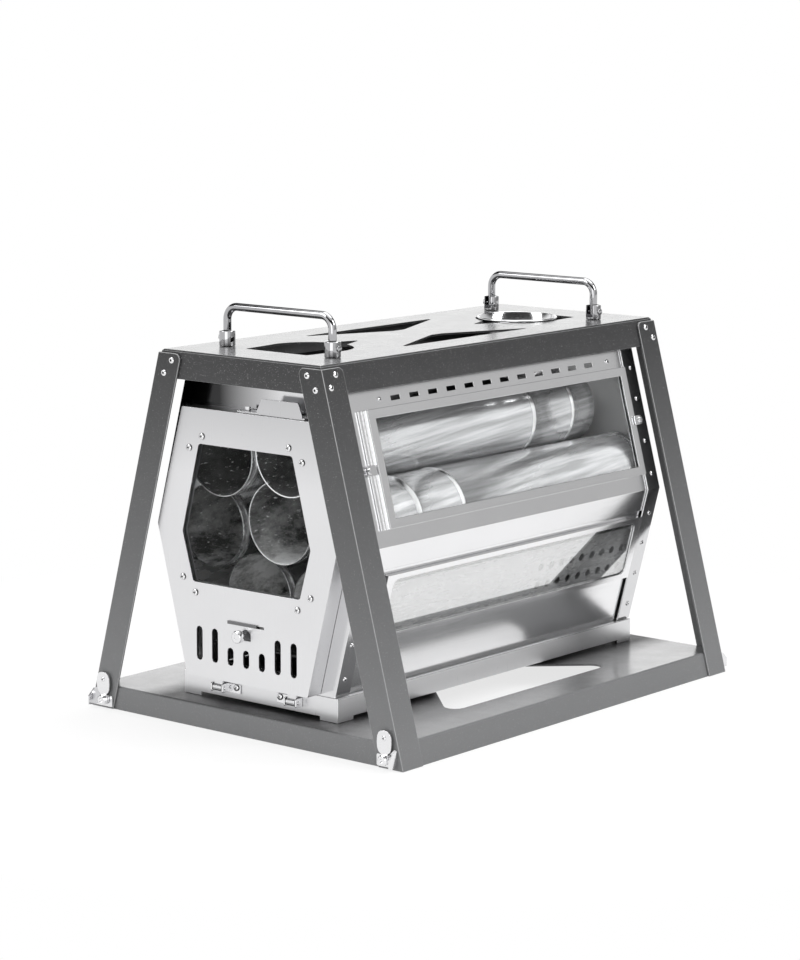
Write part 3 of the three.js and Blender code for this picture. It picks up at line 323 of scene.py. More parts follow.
steelLooks = {
    # the door is darker towards its top, its upper colour: painted shade
    "doorSteel": {"colour": (0.78, 0.78, 0.79), "shade": (0.72, 0.72, 0.73), "roughness": (0.27, 0.33),
                  "brush": (400, 400, 6), "depth": 0.000004,
                  "upper": (0.52, 0.52, 0.53), "paintedShadeHeights": (0.25, 0.34)},
    "frontSteel": {"colour": (0.74, 0.74, 0.75), "shade": (0.66, 0.66, 0.67), "roughness": (0.10, 0.18),
                   "brush": (60, 60, 60), "depth": 0.000002},
    "mirrorSteel": {"colour": (0.74, 0.74, 0.75), "shade": (0.62, 0.62, 0.63), "roughness": (0.09, 0.18),
                    "brush": (60, 60, 60), "depth": 0.000002},
    "panelSteel": {"colour": (0.88, 0.88, 0.89), "shade": (0.80, 0.80, 0.81), "roughness": (0.16, 0.24),
                   "brush": (300, 6, 300), "depth": 0.000003},
    "sillSteel": {"colour": (0.92, 0.92, 0.93), "shade": (0.84, 0.84, 0.85), "roughness": (0.14, 0.22),
                  "brush": (300, 6, 300), "depth": 0.000003},
    # a pale steel for the sheets' inner sides: painted light
    "innerPaintedLightSteel": {"colour": (0.90, 0.90, 0.90), "shade": (0.62, 0.62, 0.63), "roughness": (0.35, 0.5),
                   "brush": (60, 20, 60), "depth": 0.00002, "metallic": 0.35},
    "ductSteel": {"colour": (0.80, 0.80, 0.805), "shade": (0.72, 0.72, 0.725), "roughness": (0.22, 0.34),
                  "brush": (30, 6, 30), "depth": 0.000004, "metallic": 0.6},
    "brightSteel": {"colour": (0.86, 0.86, 0.87), "shade": (0.74, 0.74, 0.75), "roughness": (0.10, 0.2),
                    "brush": (200, 200, 200), "depth": 0.000005},
    "darkSteel": {"colour": (0.30, 0.30, 0.305), "shade": (0.05, 0.05, 0.052), "roughness": (0.25, 0.5),
                  "brush": (60, 20, 60), "depth": 0.00003},
    # near black for the hollows of rivets and screws: painted shade
    "paintedShadeBlack": {"colour": (0.03, 0.03, 0.03), "shade": (0.01, 0.01, 0.01), "roughness": (0.5, 0.7),
                  "brush": (60, 60, 60), "depth": 0.00001},
    # a paler steel for the sheets' rounded edges: a painted highlight
    "edgeHighlightSteel": {"colour": (0.95, 0.95, 0.95), "shade": (0.85, 0.85, 0.86), "roughness": (0.14, 0.22),
                  "brush": (60, 60, 60), "depth": 0.000002},
    "chromeFinish": {"colour": (0.56, 0.56, 0.57), "shade": (0.30, 0.30, 0.31), "roughness": (0.03, 0.08),
                     "brush": (60, 60, 60), "depth": 0.000002},
}
steelPattern = {
    "brushScale": 4,
    "brushDetail": 5,
    "brushRoughness": 0.65,
    "brushStrength": 0.2,
    "smudges": 14,
}


def makeSteel(name):
    look = steelLooks[name]
    pattern = steelPattern
    steel = newMaterial(name, look["colour"], look.get("metallic", 1.0), look["roughness"][0])
    brush = objectNoise(steel, pattern["brushScale"], look["brush"], pattern["brushDetail"],
                        pattern["brushRoughness"])
    colour = blend(steel, objectNoise(steel, pattern["smudges"]), look["shade"], look["colour"])
    # a look with an upper colour gets it towards the top: painted shade
    if "upper" in look:
        colour = blend(steel, alongAxis(steel, "Z", *look["paintedShadeHeights"], 0, 1), colour, look["upper"])
    link(steel, colour, "Base Color")
    link(steel, spread(steel, brush, *look["roughness"]), "Roughness")
    bump(steel, brush, pattern["brushStrength"], look["depth"])
    return steel


# a dark patch on the door surround's top edge, towards the left: a painted dark reflection
frontPaintedReflection = {"colour": (0.04, 0.04, 0.041), "height": (0.308, 0.316), "side": (-0.050, 0.03)}


def makeFrontSteel():
    # the door surround's top edge is painted dark towards the left: a painted dark reflection
    steel = makeSteel("frontSteel")
    plain = steel.node_tree.nodes["Principled BSDF"].inputs["Base Color"].links[0].from_socket
    height = alongAxis(steel, "Z", *frontPaintedReflection["height"], 0, 1)
    side = alongAxis(steel, "X", *frontPaintedReflection["side"], 1, 0)
    share = mathNode(steel, "MULTIPLY", height, side)
    link(steel, blend(steel, share, plain, frontPaintedReflection["colour"]), "Base Color")
    return steel


pipeLook = {
    "outside": (0.74, 0.74, 0.75),
    "outsideShade": (0.42, 0.42, 0.425),
    "outsideMetal": 0.72,
    "outsideRoughness": (0.14, 0.26),
    "streaks": 1.6,
    "streakStretch": (100, 3.2, 100),
    "streakTilt": 5,
    "streakShare": (0.38, 0.62),
    "streakStrength": 0.25,
    "streakDepth": 0.00002,
    "unlit": (0.03, 0.03, 0.03),
    "unlitHeight": (0.302, 0.318),
    "insidePaintedLight": (1.0, 1.0, 1.0),
    "insidePaintedShade": (0.14, 0.14, 0.141),
    "insidePaintedHeights": (0.14, 0.23),
    "insideShade": (0.03, 0.03, 0.03),
    "insideMetal": 0.25,
    "insideRoughness": (0.28, 0.5),
    "clouds": 26,
    "cloudStretch": (1, 0.5, 1),
    "cloudShare": (0.4, 0.62),
    "fleck": (0.9, 0.9, 0.9),
    "flecks": 420,
    "fleckStretch": (1, 0.35, 1),
    "fleckShare": (0.62, 0.72),
    "drawMarks": 160,
    "drawStretch": (1, 0.3, 1),
    "drawStrength": 0.4,
    "drawDepth": 0.00004,
    "roughPatches": 30,
    # a paler steel for the beads: a painted highlight
    "bead": (0.95, 0.95, 0.95),
    "beadRoughness": (0.2, 0.3),
    "beadHighlightPatches": 90,
}


def patchPipe(steel, roughness):
    patches = objectNoise(steel, pipeLook["roughPatches"], detail=5, roughness=0.7)
    link(steel, spread(steel, patches, *roughness), "Roughness")


def makePipeOutside():
    # polished tube with long soft streaks, and painted shade close under the roof where it is unlit
    look = pipeLook
    steel = newMaterial("pipeOutside", look["outside"], look["outsideMetal"], look["outsideRoughness"][0])
    streak = objectNoise(steel, look["streaks"], look["streakStretch"], detail=5, tilt=look["streakTilt"])
    share = spread(steel, streak, 0, 1, *look["streakShare"])
    streaked = blend(steel, share, look["outsideShade"], look["outside"])
    height = alongAxis(steel, "Z", *look["unlitHeight"], 0, 1)
    link(steel, blend(steel, height, streaked, look["unlit"]), "Base Color")
    patchPipe(steel, look["outsideRoughness"])
    bump(steel, streak, look["streakStrength"], look["streakDepth"])
    return steel


def makePipeInside():
    # unpolished inner side with clouds and pale flecks; painted light in the lower pipes and painted shade
    # in the upper ones
    look = pipeLook
    steel = newMaterial("pipeInside", look["insidePaintedLight"], look["insideMetal"], look["insideRoughness"][0])
    # painted light low down and painted shade higher up
    height = alongAxis(steel, "Z", *look["insidePaintedHeights"], 0, 1)
    ground = blend(steel, height, look["insidePaintedLight"], look["insidePaintedShade"])
    cloud = objectNoise(steel, look["clouds"], look["cloudStretch"], detail=6, roughness=0.72)
    clouded = blend(steel, spread(steel, cloud, 0, 1, *look["cloudShare"]), look["insideShade"], ground)
    fleck = objectNoise(steel, look["flecks"], look["fleckStretch"], detail=3)
    flecked = blend(steel, spread(steel, fleck, 0, 1, *look["fleckShare"]), clouded, look["fleck"])
    link(steel, flecked, "Base Color")
    patchPipe(steel, look["insideRoughness"])
    marks = objectNoise(steel, look["drawMarks"], look["drawStretch"])
    bump(steel, marks, look["drawStrength"], look["drawDepth"])
    return steel


def makePipeBeadHighlight():
    # the beads and mouths get a paler steel: a painted highlight
    look = pipeLook
    steel = newMaterial("pipeBeadHighlight", look["bead"], 1.0, look["beadRoughness"][0])
    highlightPatches = objectNoise(steel, look["beadHighlightPatches"])
    link(steel, blend(steel, highlightPatches, look["outside"], look["bead"]), "Base Color")
    link(steel, spread(steel, highlightPatches, *look["beadRoughness"]), "Roughness")
    return steel


glassLook = {
    "tint": (0.97, 0.98, 0.98),
    "roughness": (0.0, 0.02),
    "patches": 12,
    "stoveGlass": 1.12,
    "sillGlass": 4.4,
}


def makeGlass(name):
    # the door's and upper glasses hardly mirror; the lower ones mirror the white floor, as in the photo
    look = glassLook
    glass = newMaterial(name, look["tint"], 0.0, look["roughness"][1],
                        Transmission_Weight=1.0, IOR=look[name])
    patches = objectNoise(glass, look["patches"], detail=3, roughness=0.5)
    link(glass, spread(glass, patches, *look["roughness"]), "Roughness")
    shadow = addNode(glass, "ShaderNodeLightPath", {}).outputs["Is Shadow Ray"]
    clear = addNode(glass, "ShaderNodeBsdfTransparent", {}).outputs["BSDF"]
    tree = glass.node_tree
    shader = mixShaders(glass, shadow, tree.nodes["Principled BSDF"].outputs["BSDF"], clear)
    tree.links.new(shader, tree.nodes["Material Output"].inputs["Surface"])
    return glass


framePaint = makeFramePaint("framePaint")
# the rounded edges of the frame get a paler paint: a painted highlight
paintEdgeHighlight = makeFramePaint("paintEdgeHighlight", paintLook["edge"])
doorSteel = makeSteel("doorSteel")
panelSteel = makeSteel("panelSteel")
brightSteel = makeSteel("brightSteel")
darkSteel = makeSteel("darkSteel")
chromeFinish = makeSteel("chromeFinish")
mirrorSteel = makeSteel("mirrorSteel")
frontSteel = makeFrontSteel()
sillSteel = makeSteel("sillSteel")
innerPaintedLightSteel = makeSteel("innerPaintedLightSteel")
ductSteel = makeSteel("ductSteel")
edgeHighlightSteel = makeSteel("edgeHighlightSteel")
paintedShadeBlack = makeSteel("paintedShadeBlack")
pipeOutside = makePipeOutside()
pipeInside = makePipeInside()
pipeBeadHighlight = makePipeBeadHighlight()
stoveGlass = makeGlass("stoveGlass")
sillGlass = makeGlass("sillGlass")
print("materials made")

# sheet metal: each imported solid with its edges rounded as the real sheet's are

corners = ("front_right", "front_left", "rear_right", "rear_left")

# the sheets whose inner side shows through the glass, with the way that side faces; that side gets a pale
# steel as painted light
innerLean = 0.26
innerSides = {
    "rear_panel": (0, -1, 0),
    "upper_panel_right": (-1, 0, -innerLean),
    "upper_panel_left": (1, 0, -innerLean),
    "lower_panel_right": (-1, 0, innerLean),
    "lower_panel_left": (1, 0, innerLean),
    "upper_window_frame_left": (1, 0, -innerLean),
    "lower_window_frame_left": (1, 0, innerLean),
}

# edge is the rounding in mm, and rim is the paler material on the rounded edges, a painted highlight
sheetPieces = {
    "frame": {
        "material": framePaint, "rim": paintEdgeHighlight, "slot": "frame_paint", "edge": 0.6,
        "nodes": ["top_plate", "base_plate", "leg_front_right", "leg_front_left", "leg_rear_right",
                  "leg_rear_left"]},
    "shell": {
        "material": panelSteel, "rim": edgeHighlightSteel, "slot": "body_steel", "edge": 0.3,
        "nodes": ["upper_panel_right", "upper_panel_left", "upper_window_frame_right",
                  "upper_window_frame_left"]},
    "surround": {
        "material": frontSteel, "rim": edgeHighlightSteel, "slot": "body_steel", "edge": 0.3,
        "nodes": ["front_frame"]},
    "rear": {
        "material": mirrorSteel, "rim": edgeHighlightSteel, "slot": "body_steel", "edge": 0.3,
        "nodes": ["rear_panel"]},
    "roof": {
        "material": darkSteel, "rim": edgeHighlightSteel, "slot": "body_steel", "edge": 0.3,
        "nodes": ["roof_plate"]},
    "front": {
        "material": doorSteel, "rim": edgeHighlightSteel, "slot": "body_steel", "edge": 0.35,
        "nodes": ["ash_tray", "door_panel", "door_latch"]},
    "sill": {
        "material": sillSteel, "rim": edgeHighlightSteel, "slot": "bright_steel", "edge": 0.25,
        "nodes": ["lower_panel_right", "lower_panel_left", "lower_window_frame_right",
                  "lower_window_frame_left"]},
    "hinges": {
        "material": brightSteel, "rim": edgeHighlightSteel, "slot": "bright_steel", "edge": 0.25,
        "nodes": ["door_hinge_right", "door_hinge_left"]},
    "latches": {
        "material": brightSteel, "rim": edgeHighlightSteel, "slot": "bright_steel", "edge": 0.3,
        "nodes": [f"frame_latch_{part}_{corner}" for part in ("bracket", "lever") for corner in corners]},
    "clips": {
        "material": brightSteel, "rim": edgeHighlightSteel, "slot": "bright_steel", "edge": 0.25,
        "nodes": [f"window_clip_{corner}" for corner in corners]},
}
# weld is in metres, angles in degrees, and sameWay is the cosine of the widest turn from an inner side's way
sheetEdges = {"weld": 2e-6, "flat": 0.5, "sharp": 20, "segments": 2, "smooth": 50, "sameWay": 0.8}


def softenSheet(node, group):
    look = sheetEdges
    source = nodes[node]
    name = node + "_sheet"
    piece = bpy.data.objects.new(name, source.data.copy())
    bpy.context.scene.collection.objects.link(piece)
    piece.data.materials.clear()
    for material in (group["material"], group["rim"], innerPaintedLightSteel):
        piece.data.materials.append(material)
    startEdit(piece)
    bpy.ops.mesh.select_all(action="SELECT")
    bpy.ops.mesh.remove_doubles(threshold=look["weld"])
    bpy.ops.mesh.dissolve_limited(angle_limit=math.radians(look["flat"]))
    endEdit()
    bevelEdges(piece, group["edge"], look["segments"], look["sharp"], 1)
    smooth(piece, look["smooth"])
    addModifier(piece, "WEIGHTED_NORMAL", keep_sharp=True)
    # the inner side takes the pale steel: painted light
    if node in innerSides:
        inward = Vector(innerSides[node]).normalized()
        for face in piece.data.polygons:
            if face.material_index == 0 and face.normal.dot(inward) > look["sameWay"]:
                face.material_index = 2
    finishPiece(piece, name, source["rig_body"], None, [node])


for group in sheetPieces.values():
    for node in group["nodes"]:
        softenSheet(node, group)
print("sheet metal made")

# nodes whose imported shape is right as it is
plainNodes = {
    "glass": (stoveGlass, ["upper_window_glass_right", "upper_window_glass_left", "door_glass"]),
    "sill": (sillGlass, ["lower_window_glass_right", "lower_window_glass_left"]),
    "dark": (darkSteel, ["fire_grate", "damper_slide"]),
    "ducts": (ductSteel, ["air_duct_right", "air_duct_left"]),
    "retainer": (doorSteel, ["glass_retainer"]),
    "pivot": (brightSteel, ["latch_pivot"]),
}
for material, names in plainNodes.values():
    for node in names:
        nodes[node].data.materials.clear()
        nodes[node].data.materials.append(material)

# flue pipes

# sizes are in mm; the lip is the curled mouth, as (outside the tube, along the pipe), and the two turns
# say which faces are the inner side and the ends
pipeSizes = {
    "rim": 42.0,
    "tube": 40.9,
    "wall": 0.9,
    "spigot": 39.4,
    "spigotLength": 38.0,
    "firstBead": 10.0,
    "spigotBead": 68.0,
    "beadHalf": 2.6,
    "beadSteps": 4,
    "beadFlatness": 0.6,
    "lip": [(-0.9, 1.0), (-0.4, 0.2), (0.6, 0), (1.1, 0.6), (1.1, 1.4), (0.6, 2.1), (0, 2.6)],
    "shoulderHalf": 2.2,
    "shoulderBack": 1.5,
    "taper": 4.0,
    "endRound": 0.4,
    "steps": 64,
    "smooth": 50,
    "beadRise": 0.25,
    "insideTurn": -0.3,
    "endTurn": 0.7,
    "dullFront": 20.0,
}


def roundBead(at, half):
    size = pipeSizes
    steps = size["beadSteps"]
    rise = size["rim"] - size["tube"]
    bead = []
    for step in range(-steps, steps + 1):
        bulge = math.cos(math.pi / 2 * step / steps) ** size["beadFlatness"] if abs(step) < steps else 0
        bead.append((size["tube"] + rise * bulge, at + half * step / steps))
    return bead


def makePipe(node):
    size = pipeSizes
    low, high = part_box(node)
    length = (high.y - low.y) / mm
    tube, wall, spigot, end = size["tube"], size["wall"], size["spigot"], size["endRound"]
    shoulder = length - size["spigotLength"]
    taper = shoulder - size["taper"]
    profile = [(tube + out, along) for out, along in size["lip"]]
    profile += roundBead(size["firstBead"], size["beadHalf"])
    profile += roundBead(shoulder - size["spigotBead"], size["beadHalf"])
    # a last bead, without its feet, stands where the tube steps down to the spigot
    profile += [(tube, taper)] + roundBead(shoulder - size["shoulderBack"], size["shoulderHalf"])[2:-2]
    profile += [(spigot, shoulder + size["shoulderBack"]), (spigot, length - end), (spigot - end, length),
                (spigot - wall, length - end), (spigot - wall, shoulder), (tube - wall, taper), profile[0]]
    piece = turnProfile(profile, size["steps"])
    turnedRound = node.endswith("middle_right")
    along = (0, -1, 0) if turnedRound else (0, 1, 0)
    start = high.y if turnedRound else low.y
    middle = Vector(((low.x + high.x) / 2, 0, (low.z + high.z) / 2))
    piece.data.transform(Matrix.Translation((middle.x, start, middle.z)) @ facing(along))
    smooth(piece, size["smooth"])
    finishPiece(piece, node + "_tube", "stove", pipeOutside, [node])
    piece.data.materials.append(pipeInside)
    piece.data.materials.append(pipeBeadHighlight)
    # the pipe in the middle of the door's window has a dull mouth, without the painted highlight
    dullEnd = low.y + size["dullFront"] * mm if node == "flue_pipe_middle" else low.y
    # inner faces take the inside steel, and the beads and the ends the painted highlight
    for face in piece.data.polygons:
        outward = face.center - middle
        outward.y = 0
        if face.normal.dot(outward.normalized()) < size["insideTurn"]:
            face.material_index = 1
        elif outward.length > (tube + size["beadRise"]) * mm or abs(face.normal.y) > size["endTurn"]:
            face.material_index = 0 if face.center.y < dullEnd else 2


for node in nodes:
    if node.startswith("flue_pipe"):
        makePipe(node)
print("flue pipes made")

# flue collar

# sizes are in mm, and the rolled rim's angles in degrees
collarSizes = {
    "bore": 39.8,
    "wall": 1.2,
    "flange": 49.0,
    "flangeRound": 0.3,
    "fillet": 1.2,
    "rim": 42.2,
    "rimHalf": 1.4,
    "rimFoot": 4.0,
    "rimAngles": range(20, 171, 25),
    "mouthRound": 0.5,
    "steps": 72,
    "smooth": 45,
}


def makeCollar():
    size = collarSizes
    low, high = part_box("flue_collar")
    top = (high.z - low.z) / mm
    bore, wall, flange = size["bore"], size["wall"], size["flange"]
    edge, fillet, rimHalf, mouth = size["flangeRound"], size["fillet"], size["rimHalf"], size["mouthRound"]
    outer = bore + wall
    rimRise = size["rim"] - outer
    profile = [(bore, 0), (flange - edge, 0), (flange, edge), (flange, wall - edge), (flange - edge, wall),
               (outer + fillet, wall), (outer, wall + fillet), (outer, top - size["rimFoot"])]
    for angle in size["rimAngles"]:
        turn = math.radians(angle)
        profile.append((outer + rimRise * math.sin(turn), top - rimHalf - rimHalf * math.cos(turn)))
    profile += [(bore + mouth, top), (bore, top - mouth), (bore, 0)]
    piece = turnProfile(profile, size["steps"])
    piece.data.transform(Matrix.Translation(((low.x + high.x) / 2, (low.y + high.y) / 2, low.z)))
    smooth(piece, size["smooth"])
    finishPiece(piece, "flue_collar_ring", "stove", brightSteel, ["flue_collar"])


makeCollar()

# carry handles and their sockets

handleSizes = {"bar": 4.0, "bend": 13.0, "bendSteps": 10, "pivotRise": 8.5, "sides": 28, "endRound": 0.5}


def makeHandle(node, body):
    size = handleSizes
    low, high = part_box(node)
    bar = size["bar"] * mm
    bend = size["bend"] * mm
    reach = low.x + bar
    y = (low.y + high.y) / 2
    grip = high.z - bar
    corner = {"steps": size["bendSteps"], "angle": math.pi / 2, "axis": (0, -1, 0)}
    bpy.ops.mesh.primitive_circle_add(radius=bar, vertices=size["sides"], fill_type="NGON",
                                      location=(reach, y, low.z))
    piece = bpy.context.object
    applyPlace(piece)
    startEdit(piece)
    bpy.ops.mesh.select_all(action="SELECT")
    bpy.ops.mesh.extrude_region_move(TRANSFORM_OT_translate={"value": (0, 0, grip - bend - low.z)})
    bpy.ops.mesh.spin(center=(reach + bend, y, grip - bend), **corner)
    bpy.ops.mesh.extrude_region_move(TRANSFORM_OT_translate={"value": (-2 * (reach + bend), 0, 0)})
    bpy.ops.mesh.spin(center=(-reach - bend, y, grip - bend), **corner)
    bpy.ops.mesh.extrude_region_move(TRANSFORM_OT_translate={"value": (0, 0, low.z - grip + bend)})
    bpy.ops.mesh.select_all(action="SELECT")
    bpy.ops.mesh.remove_doubles(threshold=weldGap)
    bpy.ops.mesh.normals_make_consistent(inside=False)
    endEdit()
    bevelEdges(piece, size["endRound"], segments=2, angle=60)
    smooth(piece, angle=50)
    finishPiece(piece, node + "_bar", body, chromeFinish, [node])


makeHandle("carry_handle_front", "front_handle")
makeHandle("carry_handle_rear", "rear_handle")


def cutBox(piece, size, centre, turn=0):
    bpy.ops.mesh.primitive_cube_add(size=1)
    slot = bpy.context.object
    slot.scale = Vector(size) * mm
    slot.rotation_euler = (0, 0, math.radians(turn))
    slot.location = Vector(centre) * mm
    applyPlace(slot)
    addModifier(piece, "BOOLEAN", operation="DIFFERENCE", object=slot, solver="EXACT")
    bpy.data.objects.remove(slot)


socketSizes = {
    "radius": 8.0,
    "cupRound": 0.7,
    "slotHalf": 4.3,
    "floor": 2.6,
    "back": 5.6,
    "slotOver": 2.0,
    "pin": 2.0,
    "pinShort": 1.0,
    "head": 3.2,
    "headDeep": 1.8,
    "headOut": 0.3,
    "headRound": 0.4,
    "footGap": 0.3,
}


def makeSocket(node):
    size = socketSizes
    low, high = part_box(node)
    side = 1 if low.x > 0 else -1
    inward = -1 if low.y > 0 else 1
    radius = size["radius"]
    x = (low.x if side > 0 else high.x) / mm + side * radius
    y = (low.y + high.y) / 2 / mm
    base = low.z / mm
    height = (high.z - low.z) / mm
    cup = addCylinder(radius, height, (x, y, base + height / 2), (0, 0, 1), sides=48)
    bevelEdges(cup, size["cupRound"], segments=3, angle=60)
    depth = size["back"] + radius + size["slotOver"]
    cutBox(cup, (2 * size["slotHalf"], depth, height),
           (x, y + inward * (depth / 2 - size["back"]), base + size["floor"] + height / 2))
    pivot = base - size["footGap"] + handleSizes["pivotRise"]
    pin = addCylinder(size["pin"], 2 * radius - size["pinShort"], (x, y, pivot), (1, 0, 0), sides=20)
    headPlace = (x + side * (radius + size["headOut"]), y, pivot)
    head = addCylinder(size["head"], size["headDeep"], headPlace, (1, 0, 0), sides=24)
    bevelEdges(head, size["headRound"], segments=2, angle=60)
    piece = joinPieces([cup, pin, head])
    smooth(piece, angle=40)
    finishPiece(piece, node + "_cup", "stove", chromeFinish, [node])


for node in nodes:
    if node.startswith("handle_socket"):
        makeSocket(node)

# air slide's knob

# sizes are in mm; the edges are (inside the head's radius, from its back or its tip), and the dimple is
# (radius, behind the tip)
knobSizes = {
    "stem": 2.0,
    "head": 6.2,
    "stand": 5.0,
    "length": 7.0,
    "backEdge": [(1.2, 0), (0.4, 0.3), (0, 1.1)],
    "tipEdge": [(0, 1.6), (0.4, 0.6), (1.4, 0)],
    "dimple": [(2.2, 0), (1.9, 0.5), (0, 0.5)],
    "steps": 40,
    "smooth": 45,
}


def makeKnob():
    size = knobSizes
    low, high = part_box("damper_knob")
    stem, head, stand = size["stem"], size["head"], size["stand"]
    tip = stand + size["length"]
    profile = [(0, 0), (stem, 0), (stem, stand)]
    profile += [(head - inside, stand + ahead) for inside, ahead in size["backEdge"]]
    profile += [(head - inside, tip - back) for inside, back in size["tipEdge"]]
    profile += [(radius, tip - back) for radius, back in size["dimple"]]
    piece = turnProfile(profile, size["steps"])
    base = Vector(((low.x + high.x) / 2, high.y, (low.z + high.z) / 2))
    piece.data.transform(Matrix.Translation(base) @ facing((0, -1, 0)))
    smooth(piece, size["smooth"])
    finishPiece(piece, "damper_knob_turned", "damper", brightSteel, ["damper_knob"])


makeKnob()
print("round pieces made")

# rivets and screws

rivetSizes = {"head": 3.25, "rise": 1.5, "hole": 1.2}
smallRivet = {"head": 2.6, "rise": 1.1, "hole": 0.9}
rivetShape = {
    "skirt": 0.25,
    "holeDeep": 0.6,
    "domeAngles": (25, 45, 65, 90),
    "paintedShadeShare": 0.9,
    "steps": 20,
    "smooth": 50,
}
# skirt and the height of the painted shade round the head are shares of the rise, and the painted shade's
# angle is the place on the dome where the slots end
screwSizes = {
    "head": 3.3,
    "rise": 1.9,
    "skirt": 0.45,
    "domeAngles": (25, 50, 70),
    "slotLong": 3.6,
    "slotWide": 0.8,
    "slotDeep": 0.9,
    "slotTurns": (20, 110),
    "paintedShadeAngle": 50,
    "paintedShadeDepth": 0.3,
    "paintedShadeEdge": 0.3,
    "steps": 24,
    "smooth": 40,
}


# the hollows of a head are painted black: painted shade
def paintShadeInHollows(piece, hollow):
    piece.data.materials.append(brightSteel)
    piece.data.materials.append(paintedShadeBlack)
    for face in piece.data.polygons:
        face.material_index = 1 if hollow(face.center) else 0


def makeRivetHead(size):
    shape = rivetShape
    head, rise, hole = size["head"], size["rise"], size["hole"]
    skirt = shape["skirt"]
    floor = rise - shape["holeDeep"]
    profile = [(0, 0), (head, 0), (head, skirt)]
    for angle in shape["domeAngles"]:
        turn = math.radians(angle)
        profile.append((hole + (head - hole) * math.cos(turn), skirt + (rise - skirt) * math.sin(turn)))
    profile += [(hole, floor), (0, floor)]
    piece = turnProfile(profile, shape["steps"])
    smooth(piece, shape["smooth"])
    # the hole in the head is painted black: painted shade
    paintShadeInHollows(piece, lambda centre: centre.xy.length < hole * shape["paintedShadeShare"] * mm)
    return piece


def makeScrewHead(size):
    head, rise, skirt = size["head"], size["rise"], size["skirt"]
    profile = [(0, 0), (head, 0), (head, rise * skirt)]
    for angle in size["domeAngles"]:
        turn = math.radians(angle)
        profile.append((head * math.cos(turn), rise * (skirt + (1 - skirt) * math.sin(turn))))
    profile += [(0, rise)]
    piece = turnProfile(profile, size["steps"])
    for turn in size["slotTurns"]:
        cutBox(piece, (size["slotLong"], size["slotWide"], 2 * size["slotDeep"]), (0, 0, rise), turn)
    smooth(piece, size["smooth"])
    # the slots are painted black, and so is the low edge round the head, as painted shade
    reach = head * math.cos(math.radians(size["paintedShadeAngle"])) * mm
    slotTop = (rise - size["paintedShadeDepth"]) * mm
    edge = rise * size["paintedShadeEdge"] * mm
    paintShadeInHollows(piece, lambda centre: centre.z < slotTop and centre.xy.length < reach or centre.z < edge)
    return piece


def placeHeads(pattern, places, name, body):
    copies = [copyTo(pattern, Matrix.Translation(Vector(at) * mm) @ facing(out)) for at, out in places]
    piece = joinPieces(copies)
    finishPiece(piece, name, body, None)


# places are in mm; a pair on a slope is (y, z), and one on the front or the rear is (x, z)
fastenerPlaces = {
    "legFace": 267.4,
    "legFootHalf": 204.2,
    "legHeadHalf": 104.1,
    "legHeight": 370,
    "legEnds": [(87.2, 360), (97.7, 347)],
    "legSides": [(249.6, 360.8), (259.2, 349.5)],
    "shellTop": (92.1, 346),
    "shellCrease": (132.8, 194),
    "shellFoot": (95.2, 48),
    "stripY": 231,
    "stripRise": 1.8,
    "upperStrips": [318.8, 286.8, 243.1, 209.3],
    "lowerStrips": [167.7, 134.4, 100.8, 66.3],
    "panels": [(-174.6, 328.6), (194.4, 328.6)],
    "doorFace": -259,
    "doorGlass": [(56, 287.8), (73, 275.3), (83, 146.5), (66.5, 133)],
    "hingeFace": -241.9,
    "hinge": (28.6, 40),
    "latchFace": 271.3,
    "latch": (184, 30),
}


def onSlope(foot, head, side, z):
    # the place and the outward way, at height z, on a sheet that runs from foot to head, each (x, z)
    lean = (head[0] - foot[0]) / (head[1] - foot[1])
    return side * (foot[0] + (z - foot[1]) * lean), Vector((side, 0, -lean)).normalized()


def placeFasteners():
    rivet = makeRivetHead(rivetSizes)
    small = makeRivetHead(smallRivet)
    screw = makeScrewHead(screwSizes)
    spots = fastenerPlaces
    legFoot, legHead = (spots["legFootHalf"], 0), (spots["legHeadHalf"], spots["legHeight"])
    foot, crease, top = spots["shellFoot"], spots["shellCrease"], spots["shellTop"]
    sides = (-1, 1)
    frameRivets = []
    stripRivets = []
    for sx in sides:
        for sy in sides:
            frameRivets += [((sx * x, sy * spots["legFace"], z), (0, sy, 0)) for x, z in spots["legEnds"]]
            for y, z in spots["legSides"]:
                x, out = onSlope(legFoot, legHead, sx, z)
                frameRivets.append(((x, sy * y, z), out))
            strips = [(crease, top, z) for z in spots["upperStrips"]]
            strips += [(foot, crease, z) for z in spots["lowerStrips"]]
            for bottom, end, z in strips:
                x, out = onSlope(bottom, end, sx, z)
                stripRivets.append((Vector((x, sy * spots["stripY"], z)) + out * spots["stripRise"], out))
    placeHeads(rivet, frameRivets, "frame_rivets", "stove")
    placeHeads(small, stripRivets, "shell_rivets", "stove")
    onPanels = []
    for sx in sides:
        for y, z in spots["panels"]:
            x, out = onSlope(crease, top, sx, z)
            onPanels.append(((x, y, z), out))
    placeHeads(small, onPanels, "panel_rivets", "stove")
    onDoor = [((sx * x, spots["doorFace"], z), (0, -1, 0)) for sx in sides for x, z in spots["doorGlass"]]
    placeHeads(screw, onDoor, "door_glass_screws", "door")
    x, z = spots["hinge"]
    onHinges = [((sx * x, spots["hingeFace"], z), (0, -1, 0)) for sx in sides]
    placeHeads(screw, onHinges, "hinge_screws", "stove")
    x, z = spots["latch"]
    for corner in corners:
        sx = 1 if corner.endswith("right") else -1
        sy = -1 if corner.startswith("front") else 1
        spot = [((sx * x, sy * spots["latchFace"], z), (0, sy, 0))]
        placeHeads(small, spot, f"latch_rivet_{corner}", f"latch_{corner}")
    for pattern in (rivet, small, screw):
        bpy.data.objects.remove(pattern)


placeFasteners()
print("fasteners placed")

# camera, light and floor

